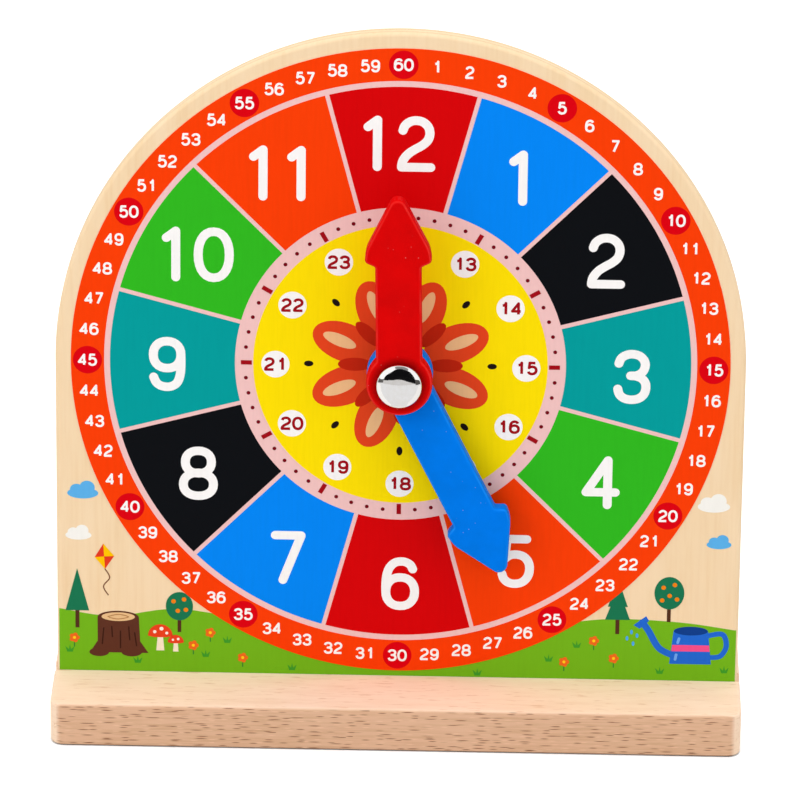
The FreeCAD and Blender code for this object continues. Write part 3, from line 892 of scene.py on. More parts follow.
def repeat_tree():
    """Geometry nodes that repeat a mark round the pivot, upright or turned with its angle."""
    name = "repeat round the pivot"
    tree = bpy.data.node_groups.get(name)
    if tree:
        return tree
    tree = bpy.data.node_groups.new(name, "GeometryNodeTree")
    for socket, kind in (("Mark", "NodeSocketGeometry"), ("Count", "NodeSocketInt"),
                         ("Distance", "NodeSocketFloat"), ("First Angle", "NodeSocketFloat"),
                         ("Turned", "NodeSocketFloat"), ("Middle", "NodeSocketVector"),
                         ("Material", "NodeSocketMaterial")):
        tree.interface.new_socket(socket, in_out="INPUT", socket_type=kind)
    tree.interface.new_socket("Marks", in_out="OUTPUT", socket_type="NodeSocketGeometry")
    given = add(tree, "NodeGroupInput").node.outputs
    index = add(tree, "GeometryNodeInputIndex")
    step = add(tree, "ShaderNodeMath", {0: math.tau, 1: given["Count"]}, operation="DIVIDE")
    angle = add(tree, "ShaderNodeMath", {0: index, 1: step, 2: given["First Angle"]},
                operation="MULTIPLY_ADD")
    across = add(tree, "ShaderNodeMath", {0: angle}, operation="SINE")
    up = add(tree, "ShaderNodeMath", {0: angle}, operation="COSINE")
    way = add(tree, "ShaderNodeCombineXYZ", {0: across, 1: up})
    spot = add(tree, "ShaderNodeVectorMath", {0: way, 1: given["Distance"], 2: given["Middle"]},
               operation="MULTIPLY_ADD")
    points = add(tree, "GeometryNodePoints", {"Count": given["Count"], "Position": spot})
    back = add(tree, "ShaderNodeMath", {0: angle, 1: -1.0}, operation="MULTIPLY")
    spin = add(tree, "ShaderNodeMath", {0: back, 1: given["Turned"]}, operation="MULTIPLY")
    turn = add(tree, "ShaderNodeCombineXYZ", {2: spin})
    marks = add(tree, "GeometryNodeInstanceOnPoints",
                {"Points": points, "Instance": given["Mark"], "Rotation": turn})
    real = add(tree, "GeometryNodeRealizeInstances", {0: marks})
    inked = add(tree, "GeometryNodeSetMaterial", {0: real, "Material": given["Material"]})
    add(tree, "NodeGroupOutput", {0: inked})
    return tree


def repeated(name, mark, material, **inputs):
    """A mark's mesh repeated by the nodes, as one plain mesh."""
    carrier = bpy.data.objects.new(name + " mark", mark)
    bpy.context.scene.collection.objects.link(carrier)
    modifier = carrier.modifiers.new("repeat", "NODES")
    modifier.node_group = repeat_tree()
    wanted = {"Material": material}
    wanted.update({key.replace("_", " ").title(): value for key, value in inputs.items()})
    for item in modifier.node_group.interface.items_tree:
        if item.in_out == "INPUT" and item.name in wanted:
            modifier[item.identifier] = wanted[item.name]
    return evaluated_mesh(carrier)


def print_slab(name, parts, layer, material, drop=None):
    """Prints flat parts as one layer of ink on the board."""
    put(name, slab_mesh(name, parts, INK[layer], drop), material, "stand")


def print_repeated(name, parts, layer, material, **inputs):
    """Prints a mark round the pivot, twelve times and turned with its angle unless told not."""
    mark = slab_mesh(name, parts, INK[layer])
    inputs = {"count": 12, "distance": 0.0, "first_angle": 0.0, "turned": 1.0,
              "middle": (0.0, 0.0, 0.0), **inputs}
    put(name, repeated(name, mark, material, **inputs), None, "stand")


class CLOCK_OT_board(bpy.types.Operator):
    """Make the arched plywood board"""
    bl_idname = "clock.make_board"
    bl_label = "Board"

    def execute(self, context):
        wood = context.scene.clock_wood
        x = BOARD_HALF_WIDTH - BOARD_FOOT_ROUND
        y = BOARD_FOOT_ROUND - BOARD_FOOT
        outline = (arc(x, y, BOARD_FOOT_ROUND, -90, 0, 4)
                   + arc(0, 0, BOARD_HALF_WIDTH, 0, 180, 144)
                   + arc(-x, y, BOARD_FOOT_ROUND, 180, 270, 4))
        mesh = plate_mesh("board", outline, -BOARD_THICKNESS, 0.0, BOARD_BACK_ROUND,
                          wood.front_round / MM, BOARD_BORE)
        smooth(mesh)
        put("arched_board", mesh, birch_plywood(wood), "stand", ["dial_board"])
        return {"FINISHED"}


class CLOCK_OT_base(bpy.types.Operator):
    """Make the grooved beech base"""
    bl_idname = "clock.make_base"
    bl_label = "Base"

    def execute(self, context):
        wood = context.scene.clock_wood
        low, high = (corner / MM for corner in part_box("base_block"))
        x, y = high.x - BASE_CORNER_ROUND, high.y - BASE_CORNER_ROUND
        outline = (arc(x, -y, BASE_CORNER_ROUND, -90, 0, 12)
                   + arc(x, y, BASE_CORNER_ROUND, 0, 90, 12)
                   + arc(-x, y, BASE_CORNER_ROUND, 90, 180, 12)
                   + arc(-x, -y, BASE_CORNER_ROUND, 180, 270, 12))
        mesh = plate_mesh("base", outline, low.z, high.z, BASE_BOTTOM_ROUND,
                          wood.top_round / MM)
        mesh.transform(Matrix.Scale(MM, 4))
        block = bpy.data.objects.new("base block", mesh)
        cutter_mesh = bpy.data.meshes.new("groove cutter")
        bm = bmesh.new()
        bmesh.ops.create_cube(bm, size=1.0)
        bm.to_mesh(cutter_mesh)
        bm.free()
        reach = 4 * BOARD_THICKNESS
        width = BOARD_THICKNESS + 2 * GROOVE_PLAY
        middle = (0, reach / 2 - BOARD_FOOT, -BOARD_THICKNESS / 2)
        cutter_mesh.transform(DIAL_TO_WORLD @ Matrix.Translation(middle)
                              @ Matrix.Diagonal((3 * BOARD_HALF_WIDTH, reach, width, 1)))
        cutter = bpy.data.objects.new("groove cutter", cutter_mesh)
        for piece in (block, cutter):
            context.scene.collection.objects.link(piece)
        cut = block.modifiers.new("groove", "BOOLEAN")
        cut.operation = "DIFFERENCE"
        cut.solver = "EXACT"
        cut.object = cutter
        grooved = evaluated_mesh(block)
        bpy.data.objects.remove(cutter)
        smooth(grooved)
        put("grooved_base", grooved, beech(wood), "stand", ["base_block"], False)
        return {"FINISHED"}


def hand_outline(length, head):
    """An arrow hand that points to twelve, anticlockwise from its hub's foot.

    The head has an underside that runs out to a barb, a cheek that rises to the shoulder,
    and a side that runs on as a tangent to the rounded tip.
    """
    barb_y = length - head
    notch_y = barb_y - (BARB_REACH - SHAFT_HALF) * math.tan(math.radians(UNDERSIDE_ANGLE))
    shoulder_x = BARB_REACH - CHEEK_RISE * math.tan(math.radians(CHEEK_ANGLE))
    shoulder_y = barb_y + CHEEK_RISE
    rise = length - TIP_ROUND - shoulder_y
    slope = math.degrees(math.atan2(shoulder_x, rise)
                         - math.asin(TIP_ROUND / math.hypot(shoulder_x, rise)))
    step_x = SHAFT_HALF + NOTCH_ROUND
    step_y = math.sqrt((HUB_RADIUS + NOTCH_ROUND) ** 2 - step_x ** 2)
    hub_angle = math.degrees(math.atan2(step_y, step_x))
    right = (arc(0, 0, HUB_RADIUS, -90, hub_angle, 22)
             + arc(step_x, step_y, -NOTCH_ROUND, hub_angle, 0, 5)
             + corner(SHAFT_HALF, notch_y, -NOTCH_ROUND, 0, UNDERSIDE_ANGLE - 90, 6)
             + corner(BARB_REACH, barb_y, BARB_ROUND, UNDERSIDE_ANGLE - 90, CHEEK_ANGLE, 8)
             + corner(shoulder_x, shoulder_y, SHOULDER_ROUND, CHEEK_ANGLE, slope, 8)
             + arc(0, length - TIP_ROUND, TIP_ROUND, slope, 90, 8))
    left = [(-x, y, radius, math.pi - angle) for x, y, radius, angle in reversed(right)]
    return right + left[1:-1]


class CLOCK_OT_hands(bpy.types.Operator):
    """Make the hour hand and the minute hand"""
    bl_idname = "clock.make_hands"
    bl_label = "Hands"

    def execute(self, context):
        settings = context.scene.clock_hands
        # Each paint's last colour is its painted edge highlight
        red = painted_plywood("red satin paint on plywood", settings.hour_colour, "#D00506",
                              "#F23A34", HOUR_HAND["back"])
        blue = painted_plywood("blue satin paint on plywood", settings.minute_colour, "#0074E0",
                               "#1E90FA", MINUTE_HAND["back"])
        for name, node, size, paint, slot in (
                ("hour_arrow", "hour_hand", HOUR_HAND, red, "red_painted_plywood"),
                ("minute_arrow", "minute_hand", MINUTE_HAND, blue, "blue_painted_plywood")):
            edge = settings.edge_round / MM
            mesh = plate_mesh(name, hand_outline(size["length"], size["head"]), size["back"],
                              size["back"] + HAND_THICKNESS, edge, edge, HAND_BORE)
            mesh.transform(Matrix.Rotation(-math.radians(size["angle"]), 4, "Z"))
            smooth(mesh)
            put(name, mesh, paint, node, [node])
        return {"FINISHED"}


class CLOCK_OT_bolt(bpy.types.Operator):
    """Make the bolt with its domed head and thread"""
    bl_idname = "clock.make_bolt"
    bl_label = "Bolt"

    def execute(self, context):
        metal = context.scene.clock_metal
        pitch = metal.thread_pitch / MM
        crown = DOME_TOP - DOME_BACK - DOME_RIM
        ball = (DOME_RADIUS ** 2 + crown ** 2) / (2 * crown)
        inner = DOME_RADIUS - DOME_EDGE_ROUND
        span = math.asin(inner / (ball - DOME_EDGE_ROUND))
        edge_height = DOME_TOP - ball + (ball - DOME_EDGE_ROUND) * math.cos(span)
        profile = [(0.0, DOME_TOP)]
        for step in range(1, CROWN_STEPS + 1):
            turn = span * step / CROWN_STEPS
            profile.append((ball * math.sin(turn), DOME_TOP - ball + ball * math.cos(turn)))
        for step in range(1, RIM_STEPS + 1):
            turn = span + (math.pi / 2 - span) * step / RIM_STEPS
            profile.append((inner + DOME_EDGE_ROUND * math.sin(turn),
                            edge_height + DOME_EDGE_ROUND * math.cos(turn)))
        profile += [(DOME_RADIUS, DOME_BACK + DOME_FOOT_EASE),
                    (DOME_RADIUS - DOME_FOOT_EASE, DOME_BACK),
                    (BOLT_RADIUS, DOME_BACK), (BOLT_RADIUS, THREAD_START)]
        end = BOLT_END + BOLT_END_CHAMFER
        count = round((THREAD_START - end) / pitch * THREAD_ROWS)
        for row in range(1, count + 1):
            profile.append((BOLT_RADIUS, THREAD_START + (end - THREAD_START) * row / count))
        for row in range(1, CHAMFER_ROWS + 1):
            share = row / CHAMFER_ROWS
            profile.append((BOLT_RADIUS - BOLT_END_CHAMFER * share, end - BOLT_END_CHAMFER * share))
        profile.append((0.0, BOLT_END))

        def thread(height, angle):
            if height > THREAD_START - pitch / 2:
                return 0.0
            phase = (height / pitch - angle / math.tau) % 1.0
            depth = THREAD_DEPTH * min(1.0, abs(2 * phase - 1) * THREAD_STEEPNESS)
            return depth * min(1.0, max(0.0, (height - BOLT_END) / BOLT_END_CHAMFER))

        mesh = turned_mesh("bolt", profile, thread)
        smooth(mesh, TURNED_SHARP)
        put("domed_bolt", mesh, chrome(metal), "stand", ["pivot_bolt"])
        return {"FINISHED"}


def ring_section(inner, outer, span, ease=0.2):
    """The section of a washer or bush, with eased outer edges."""
    low, high = span
    return [(inner, high), (outer - ease, high), (outer - ease * 0.3, high - ease * 0.3),
            (outer, high - ease), (outer, low + ease), (outer - ease * 0.3, low + ease * 0.3),
            (outer - ease, low), (inner, low)]


class CLOCK_OT_fittings(bpy.types.Operator):
    """Make the bush, the washers, the spring and the nut"""
    bl_idname = "clock.make_fittings"
    bl_label = "Fittings"

    def execute(self, context):
        metal = context.scene.clock_metal
        zinc, white = zinc_plate(metal), nylon(metal)
        spring_top = BACK_WASHER_SPAN[0]
        spring = [(LOOSE_RADIUS, spring_top - SPRING_RISE), (SPRING_RADIUS, spring_top),
                  (SPRING_RADIUS, spring_top - SPRING_THICKNESS),
                  (LOOSE_RADIUS, spring_top - SPRING_RISE - SPRING_THICKNESS)]
        rings = (
            ("turned_bush", "spacer_bush", white, "white_nylon",
             ring_section(LOOSE_RADIUS, BUSH_RADIUS, (0.0, BUSH_TOP))),
            ("thin_washer", "hand_washer", white, "white_nylon",
             ring_section(LOOSE_RADIUS, HAND_WASHER_RADIUS, HAND_WASHER_SPAN)),
            ("wide_washer", "back_washer", zinc, "zinc_plated_steel",
             ring_section(LOOSE_RADIUS, BACK_WASHER_RADIUS, BACK_WASHER_SPAN)),
            ("coned_spring", "disc_spring", zinc, "zinc_plated_steel", spring),
            ("grip_ring", "nut_insert", white, "white_nylon",
             ring_section(INSERT_BORE, INSERT_RADIUS, INSERT_SPAN, 0.1)),
        )
        for name, node, material, slot, section in rings:
            mesh = turned_mesh(name, section, closed=True)
            smooth(mesh, TURNED_SHARP)
            put(name, mesh, material, "stand", [node])
        nut = frame["nodes"]["lock_nut"].data.copy()
        bm = bmesh.new()
        bm.from_mesh(nut)
        bmesh.ops.remove_doubles(bm, verts=bm.verts, dist=0.002 * MM)
        bm.to_mesh(nut)
        bm.free()
        smooth(nut, NUT_SHARP)
        put("collar_nut", nut, zinc, "stand", ["lock_nut"], False)
        return {"FINISHED"}


def sector(inner, outer, steps=20):
    """A twelfth of a ring whose sides stand half a gap off the lines between the hours."""
    points, faces = [], []
    for step in range(steps + 1):
        for radius in (inner, outer):
            reach = math.radians(15) - math.asin(SECTOR_GAP / 2 / radius)
            angle = reach * (2 * step / steps - 1)
            points.append((radius * math.sin(angle), radius * math.cos(angle)))
    for step in range(steps):
        a, b = 2 * step, 2 * step + 2
        faces.append((b, b + 1, a + 1, a))
    return points, faces


class CLOCK_OT_dial(bpy.types.Operator):
    """Print the rings, sectors and minute marks"""
    bl_idname = "clock.make_dial"
    bl_label = "Dial"

    def execute(self, context):
        inks = context.scene.clock_print
        pink = printed_ink("pink", inks.pink)
        orange = printed_ink("orange", inks.orange)
        dark = printed_ink("dark red", inks.dark_red)
        print_slab("print_pink_field", [band(BUSH_RADIUS, PINK_DISC)], "ring", pink)
        print_slab("print_minute_ring", [band(*MINUTE_RING, steps=240)], "field", orange)
        yellow = printed_ink("yellow", inks.yellow)
        print_slab("print_yellow_disc", [band(BUSH_RADIUS, YELLOW_DISC)], "field", yellow)
        inner, outer = SECTOR_SPAN
        colours = (("red", inks.red), ("blue", inks.blue), ("black", inks.black),
                   ("teal", inks.teal), ("green", inks.green), ("orange", inks.orange))
        for hour, (name, colour) in enumerate(colours):
            ink = orange if name == "orange" else printed_ink(name, colour)
            print_repeated("print_sectors_" + name, [sector(inner, outer)], "field", ink,
                           count=2, first_angle=math.radians(30 * hour))
        dots = []
        for minute in range(1, 5):
            angle = math.radians(6 * minute)
            dots.append(joined([oval(DOT_RING * math.sin(angle), DOT_RING * math.cos(angle),
                                     DOT_RADIUS, DOT_RADIUS, steps=16)]))
        print_repeated("print_minute_dots", dots, "field", printed_ink("maroon", inks.maroon))
        half, (low, high) = TICK_HALF_WIDTH, TICK_SPAN
        tick = joined([[(-half, low), (half, low), (half, high), (-half, high)]])
        print_repeated("print_five_minute_ticks", [tick], "badge", dark)
        return {"FINISHED"}


class CLOCK_OT_numbers(bpy.types.Operator):
    """Print the hours, the minutes, the afternoon hours and their badges"""
    bl_idname = "clock.make_numbers"
    bl_label = "Numbers"

    def execute(self, context):
        inks = context.scene.clock_print
        white = printed_ink("white", inks.white)
        dark = printed_ink("figure red", inks.dark_red)
        badge = printed_ink("badge red", inks.badge)
        stroke = inks.hour_stroke / MM
        hours = [moved(digit(DIGITS[sign][1], stroke, 1.0, True), x, y)
                 for sign, x, y in HOUR_PLACES]
        print_slab("print_hours", hours, "badge", white)

        radius = MINUTE_NUMBER_RING
        mark = joined([oval(0, 0, MINUTE_BADGE, MINUTE_BADGE)])
        print_repeated("print_minute_badges", [mark], "badge", badge, distance=radius, turned=0.0)
        minutes = []
        height = inks.minute_height / MM
        for minute in range(1, 61):
            angle = math.radians(6 * minute)
            minutes += number_parts(minute, radius * math.sin(angle), radius * math.cos(angle),
                                    height, height * MINUTE_STROKE, MINUTE_BREADTH)
        print_slab("print_minutes", minutes, "figure", white)

        (x, y), radius = AFTERNOON_MIDDLE, AFTERNOON_RING
        mark = joined([oval(0, 0, AFTERNOON_BADGE, AFTERNOON_BADGE)])
        print_repeated("print_hour_badges", [mark], "badge", white, distance=radius, turned=0.0,
                       middle=(x, y, 0.0))
        afternoon = []
        height = inks.afternoon_height / MM
        for hour in range(13, 25):
            angle = math.radians(30 * hour)
            afternoon += number_parts(hour, x + radius * math.sin(angle),
                                      y + radius * math.cos(angle), height,
                                      height * AFTERNOON_STROKE, AFTERNOON_BREADTH)
        print_slab("print_afternoon_hours", afternoon, "figure", dark)
        return {"FINISHED"}


class CLOCK_OT_rosette(bpy.types.Operator):
    """Print the flower round the pivot"""
    bl_idname = "clock.make_rosette"
    bl_label = "Rosette"

    def execute(self, context):
        shapes = (
            ("petals", "#E6451E", "badge", [oval(0, 19.2, 6.4, 10.8)], 8, 22.5),
            ("petal_hearts", "#F3BE88", "figure", [oval(0, 21.0, 2.0, 5.6)], 8, 22.5),
            ("sepals", "#C4260E", "figure", [oval(0, 14.5, 2.2, 5.4)], 8, 0.0),
            ("seeds", "#1C1212", "badge", [oval(0, 29.2, 0.95, 1.5)], 8, 0.0),
        )
        for name, colour, layer, outline, count, first in shapes:
            ink = printed_ink(name.replace("_", " "), linear(colour))
            print_repeated("print_" + name, [joined(outline)], layer, ink, count=count,
                           first_angle=math.radians(first))
        return {"FINISHED"}


def over_edge(x):
    """How far the board's rounded edge lies under its face, at a distance across it."""
    radius = bpy.context.scene.clock_wood.front_round / MM
    past = max(0.0, abs(x) - (BOARD_HALF_WIDTH - radius))
    return radius - math.sqrt(radius ** 2 - past ** 2)


def cloud(x, y, size):
    """A flat oval with a small puff on its left and a bigger one on its right."""
    return joined([oval(x + right * size, y + rise * size, across * size, up * size)
                   for right, rise, across, up in
                   ((0.0, 0.0, 4.0, 1.5), (-1.6, 1.0, 1.7, 1.5), (1.1, 1.5, 2.0, 1.9))])


def flower(x, y):
    """Five round petals, a millimetre off their middle."""
    angles = [math.tau * petal / 5 for petal in range(5)]
    return joined([oval(x + math.cos(angle), y + math.sin(angle), 0.75, 0.75, steps=16)
                   for angle in angles])


def stalk(x, y, low, width=0.35):
    """An upright stem from its foot's height up to a place."""
    return joined([[(x - width / 2, low), (x + width / 2, low), (x + width / 2, y),
                    (x - width / 2, y)]])


def half_oval(x, y, across, up, steps=20):
    """The upper half of an ellipse, with a slightly sagging underside."""
    rim = [(x + across * math.cos(math.pi * i / steps), y + up * math.sin(math.pi * i / steps))
           for i in range(steps + 1)]
    return rim + [(x - across * 0.5, y - up * 0.12), (x + across * 0.5, y - up * 0.12)]


class CLOCK_OT_picture(bpy.types.Operator):
    """Print the meadow, trees, clouds, stump and watering can"""
    bl_idname = "clock.make_picture"
    bl_label = "Picture"

    def execute(self, context):
        edge, bleed, foot = PICTURE_EDGE, PICTURE_BLEED, PICTURE_FOOT
        horizon = smooth_line([(-edge, -85.5), (-92.0, -87.8), (-70.0, -85.0), (-40.0, -90.0),
                               (0.0, -95.0), (40.0, -90.0), (66.0, -86.0), (90.0, -86.5),
                               (edge, -89.0)])
        meadow = [(edge, foot)] + horizon[::-1] + [(-edge, foot)]
        strips = []
        for side, level in ((-1, horizon[0][1]), (1, horizon[-1][1])):
            for near, far in ((edge, (edge + bleed) / 2), ((edge + bleed) / 2, bleed)):
                strip = [(side * near, foot), (side * far, foot), (side * far, level),
                         (side * near, level)]
                strips.append(strip if side > 0 else strip[::-1])
        green = printed_ink("meadow green", linear("#72B41C"))
        print_slab("print_meadow", [joined([meadow] + strips)], "ground", green, over_edge)

        shapes = {
            ("clouds_blue", "#5CB0E8", "far"): [
                cloud(-101.5, -45.5, 1.25), cloud(103.0, -59.5, 1.0)],
            ("clouds_white", "#F6F3EC", "far"): [
                cloud(-103.0, -60.0, 1.05), cloud(101.0, -46.5, 1.3)],
            ("tree_trunks", "#53301F", "thing"): [
                stalk(-103.5, -84.0, -92.0, 1.3), stalk(-70.5, -86.0, -93.0, 1.2),
                stalk(71.0, -84.0, -91.0, 1.3), stalk(87.5, -80.0, -86.5, 1.2)],
            ("tree_crowns", "#1B7550", "detail"): [
                joined([[(-107.3, -86.0), (-99.7, -86.0), (-103.5, -71.5)]]),
                joined([oval(-70.5, -84.0, 4.4, 4.9)]),
                joined([[(67.0, -86.0), (75.0, -86.0), (71.0, -75.0)],
                        [(67.8, -81.5), (74.2, -81.5), (71.0, -72.0)]]),
                joined([oval(87.5, -76.5, 4.8, 5.6)])],
            ("tree_fruit", "#F08214", "spot"): [
                joined([oval(x, y, 0.75, 0.75, steps=16)]) for x, y in
                ((-72.4, -82.3), (-69.0, -81.6), (-71.0, -85.6), (-68.4, -85.2),
                 (85.6, -74.6), (89.2, -73.6), (87.6, -77.4), (90.0, -78.6), (85.2, -79.0))],
            ("stump", "#5E3324", "thing"): [
                joined([[(-99.5, -100.5), (-80.5, -100.5), (-83.2, -96.5), (-83.6, -88.2),
                         (-97.0, -88.2), (-97.0, -96.5)], oval(-90.3, -88.2, 6.7, 2.2),
                        oval(-86.0, -100.2, 3.4, 1.6), oval(-96.5, -100.4, 3.2, 1.5)])],
            ("stump_top", "#E8BE8A", "detail"): [joined([oval(-90.3, -88.0, 5.4, 1.5)])],
            ("stump_rings", "#B4814F", "spot"): [
                joined([ribbon(smooth_line([(-93.6, -88.0), (-90.3, -87.2), (-87.0, -88.0),
                                            (-90.3, -88.8), (-93.2, -88.3)]), 0.16)])],
            ("bark_lines", "#3B1D14", "detail"): [
                joined([ribbon([(x, top), (x + lean, low)], 0.22)]) for x, top, low, lean in
                ((-95.0, -92.0, -97.5, -0.5), (-92.4, -91.5, -95.0, 0.2),
                 (-89.6, -93.0, -98.8, 0.0), (-86.9, -91.5, -96.0, 0.3),
                 (-85.0, -93.5, -98.0, 0.6))],
            ("toadstool_stems", "#F7E7CC", "detail"): [
                joined([[(-78.0, -99.5), (-75.4, -99.5), (-75.9, -93.5), (-77.5, -93.5)]]),
                joined([[(-72.6, -99.8), (-70.8, -99.8), (-71.1, -96.0), (-72.3, -96.0)]])],
            ("toadstool_caps", "#E6411E", "spot"): [
                joined([half_oval(-76.7, -94.4, 4.0, 4.0)]),
                joined([half_oval(-71.7, -96.6, 2.6, 2.6)])],
            ("toadstool_spots", "#FBEFE0", "ring"): [
                joined([oval(x, y, size, size, steps=16)]) for x, y, size in
                ((-78.5, -93.0, 0.55), (-76.3, -91.9, 0.65), (-74.6, -93.4, 0.5),
                 (-72.6, -95.7, 0.4), (-70.9, -95.4, 0.45))],
            ("kite", "#E23A20", "thing"): [
                joined([[(-94.5, -71.5), (-91.5, -67.0), (-95.0, -62.8), (-97.8, -67.5)]])],
            ("kite_panels", "#FFC400", "detail"): [
                joined([[(-94.5, -71.5), (-94.75, -67.2), (-97.8, -67.5)]]),
                joined([[(-94.75, -67.2), (-91.5, -67.0), (-95.0, -62.8)]])],
            ("kite_string", "#7A4A30", "thing"): [
                joined([ribbon(smooth_line([(-94.5, -71.5), (-93.0, -74.5), (-95.0, -77.5),
                                            (-93.5, -80.5)]), 0.18)])],
            ("can", "#2468D2", "thing"): [
                joined([[(88.0, -101.0), (101.5, -101.0), (100.3, -89.5), (89.2, -89.5)],
                        ribbon(smooth_line([(89.0, -98.0), (84.5, -95.5), (81.0, -89.5),
                                            (79.0, -86.8)]), 1.1),
                        ribbon(smooth_line([(100.4, -91.0), (105.0, -90.5), (106.3, -94.5),
                                            (104.5, -98.0), (101.2, -98.6)]), 0.85),
                        [(76.2, -87.8), (80.2, -84.6), (81.2, -86.2), (78.2, -89.0)]])],
            ("can_band", "#F4508C", "detail"): [
                joined([[(88.62, -96.6), (100.98, -96.6), (100.78, -94.4), (88.82, -94.4)]])],
            ("can_mouth", "#123F8C", "detail"): [joined([oval(94.75, -89.5, 5.5, 1.5)])],
            ("can_shine", "#6FA6F0", "spot"): [
                joined([ribbon([(91.0, -92.2), (90.6, -93.6)], 0.45)]),
                joined([ribbon([(90.2, -97.8), (89.9, -99.4)], 0.45)])],
            ("drops", "#4EA6EE", "thing"): [
                joined([oval(x, y, 0.45, 0.8, steps=16)]) for x, y in
                ((75.6, -90.2), (77.4, -91.4), (74.2, -92.4), (76.2, -94.2))],
            ("grass", "#3F9A2A", "thing"): [
                joined([[(x - 0.9, y), (x + 0.9, y), (x + 1.5, y + 2.0), (x + 0.35, y + 0.9),
                         (x, y + 2.6), (x - 0.35, y + 0.9), (x - 1.5, y + 2.0)]])
                for x, y in ((-106.0, -100.5), (-84.0, -104.0), (-62.0, -101.5), (-55.0, -96.5),
                             (-34.0, -105.6), (26.0, -106.3), (49.0, -101.0), (58.0, -96.0),
                             (85.0, -104.6), (105.8, -104.0))],
            ("flower_stalks", "#2E7D32", "thing"): [
                stalk(x, y, y - FLOWER_STALK) for x, y in FLOWER_PLACES],
            ("flowers", "#EB6A1E", "detail"): [flower(x, y) for x, y in FLOWER_PLACES],
            ("flower_eyes", "#FFD21E", "spot"): [
                joined([oval(x, y, 0.5, 0.5, steps=14)]) for x, y in FLOWER_PLACES],
        }
        for (name, colour, layer), parts in shapes.items():
            ink = printed_ink(name.replace("_", " "), linear(colour))
            print_slab("print_" + name, parts, layer, ink)
        return {"FINISHED"}


# The photograph's camera, as fitted to the printed circles and the base's edges
CAMERA_PLACE = Vector((33.185, -1808.363, 990.977)) * MM
CAMERA_AIM = Vector((0.0, 6.903, 109.384)) * MM
CAMERA_ROLL = math.radians(0.529)
CAMERA_LENS = 284.79
CAMERA_SENSOR = 36.0
CAMERA_CLIP = 100.0

FLOOR_HALF = 6.0
FLOOR_GREY = "#E8E8E8"
# Over 1, so that the lit paper shows as plain white and only the shadow is darker
PAPER_WHITE = 1.3
# Share of plain white in the floor that metal mirrors; the rest is its shaded paper
MIRRORED_GLOW = 0.7

# Lamps by place and side in metres, and by the setting that holds their power
LAMPS = (
    ("key lamp", (-1.25, -1.15, 1.25), 0.75, "key_power"),
    ("top lamp", (0.1, -0.15, 1.9), 1.0, "top_power"),
    ("side lamp", (1.6, -0.9, 0.85), 0.7, "side_power"),
)


def lamp(name, place, size, power):
    """A square soft lamp aimed at the pivot and left out of reflections."""
    light = bpy.data.lights.new(name, "AREA")
    light.shape = "SQUARE"
    light.size = size
    light.energy = power
    carrier = bpy.data.objects.new(name, light)
    carrier.location = place
    carrier.rotation_euler = (PIVOT - Vector(place)).to_track_quat("-Z", "Y").to_euler()
    carrier.visible_glossy = False
    bpy.context.scene.collection.objects.link(carrier)


def paper_floor(pure):
    """Matt white paper: the camera sees it as white with the clock's shadow at its foot."""
    material = bpy.data.materials.new("white paper floor")
    material.use_nodes = True
    tree = material.node_tree
    tree.nodes.clear()
    rays = add(tree, "ShaderNodeLightPath").node.outputs
    grey, white = rgba(linear(FLOOR_GREY)), rgba([PAPER_WHITE] * 3)
    tone = add(tree, "ShaderNodeMix", {0: rays["Is Camera Ray"], 6: grey,
                                       7: white if pure else grey}, 2, data_type="RGBA")
    paper = add(tree, "ShaderNodeBsdfDiffuse", {"Color": tone})
    glow = add(tree, "ShaderNodeEmission", {"Color": (1, 1, 1, 1), "Strength": 1.0})
    mirrored = add(tree, "ShaderNodeMath", {0: rays["Is Glossy Ray"],
                                            1: rays["Is Transmission Ray"]}, operation="MAXIMUM")
    share = add(tree, "ShaderNodeMath", {0: mirrored, 1: MIRRORED_GLOW}, operation="MULTIPLY")
    both = add(tree, "ShaderNodeMixShader", {0: share, 1: paper, 2: glow})
    add(tree, "ShaderNodeOutputMaterial", {0: both})
    return material


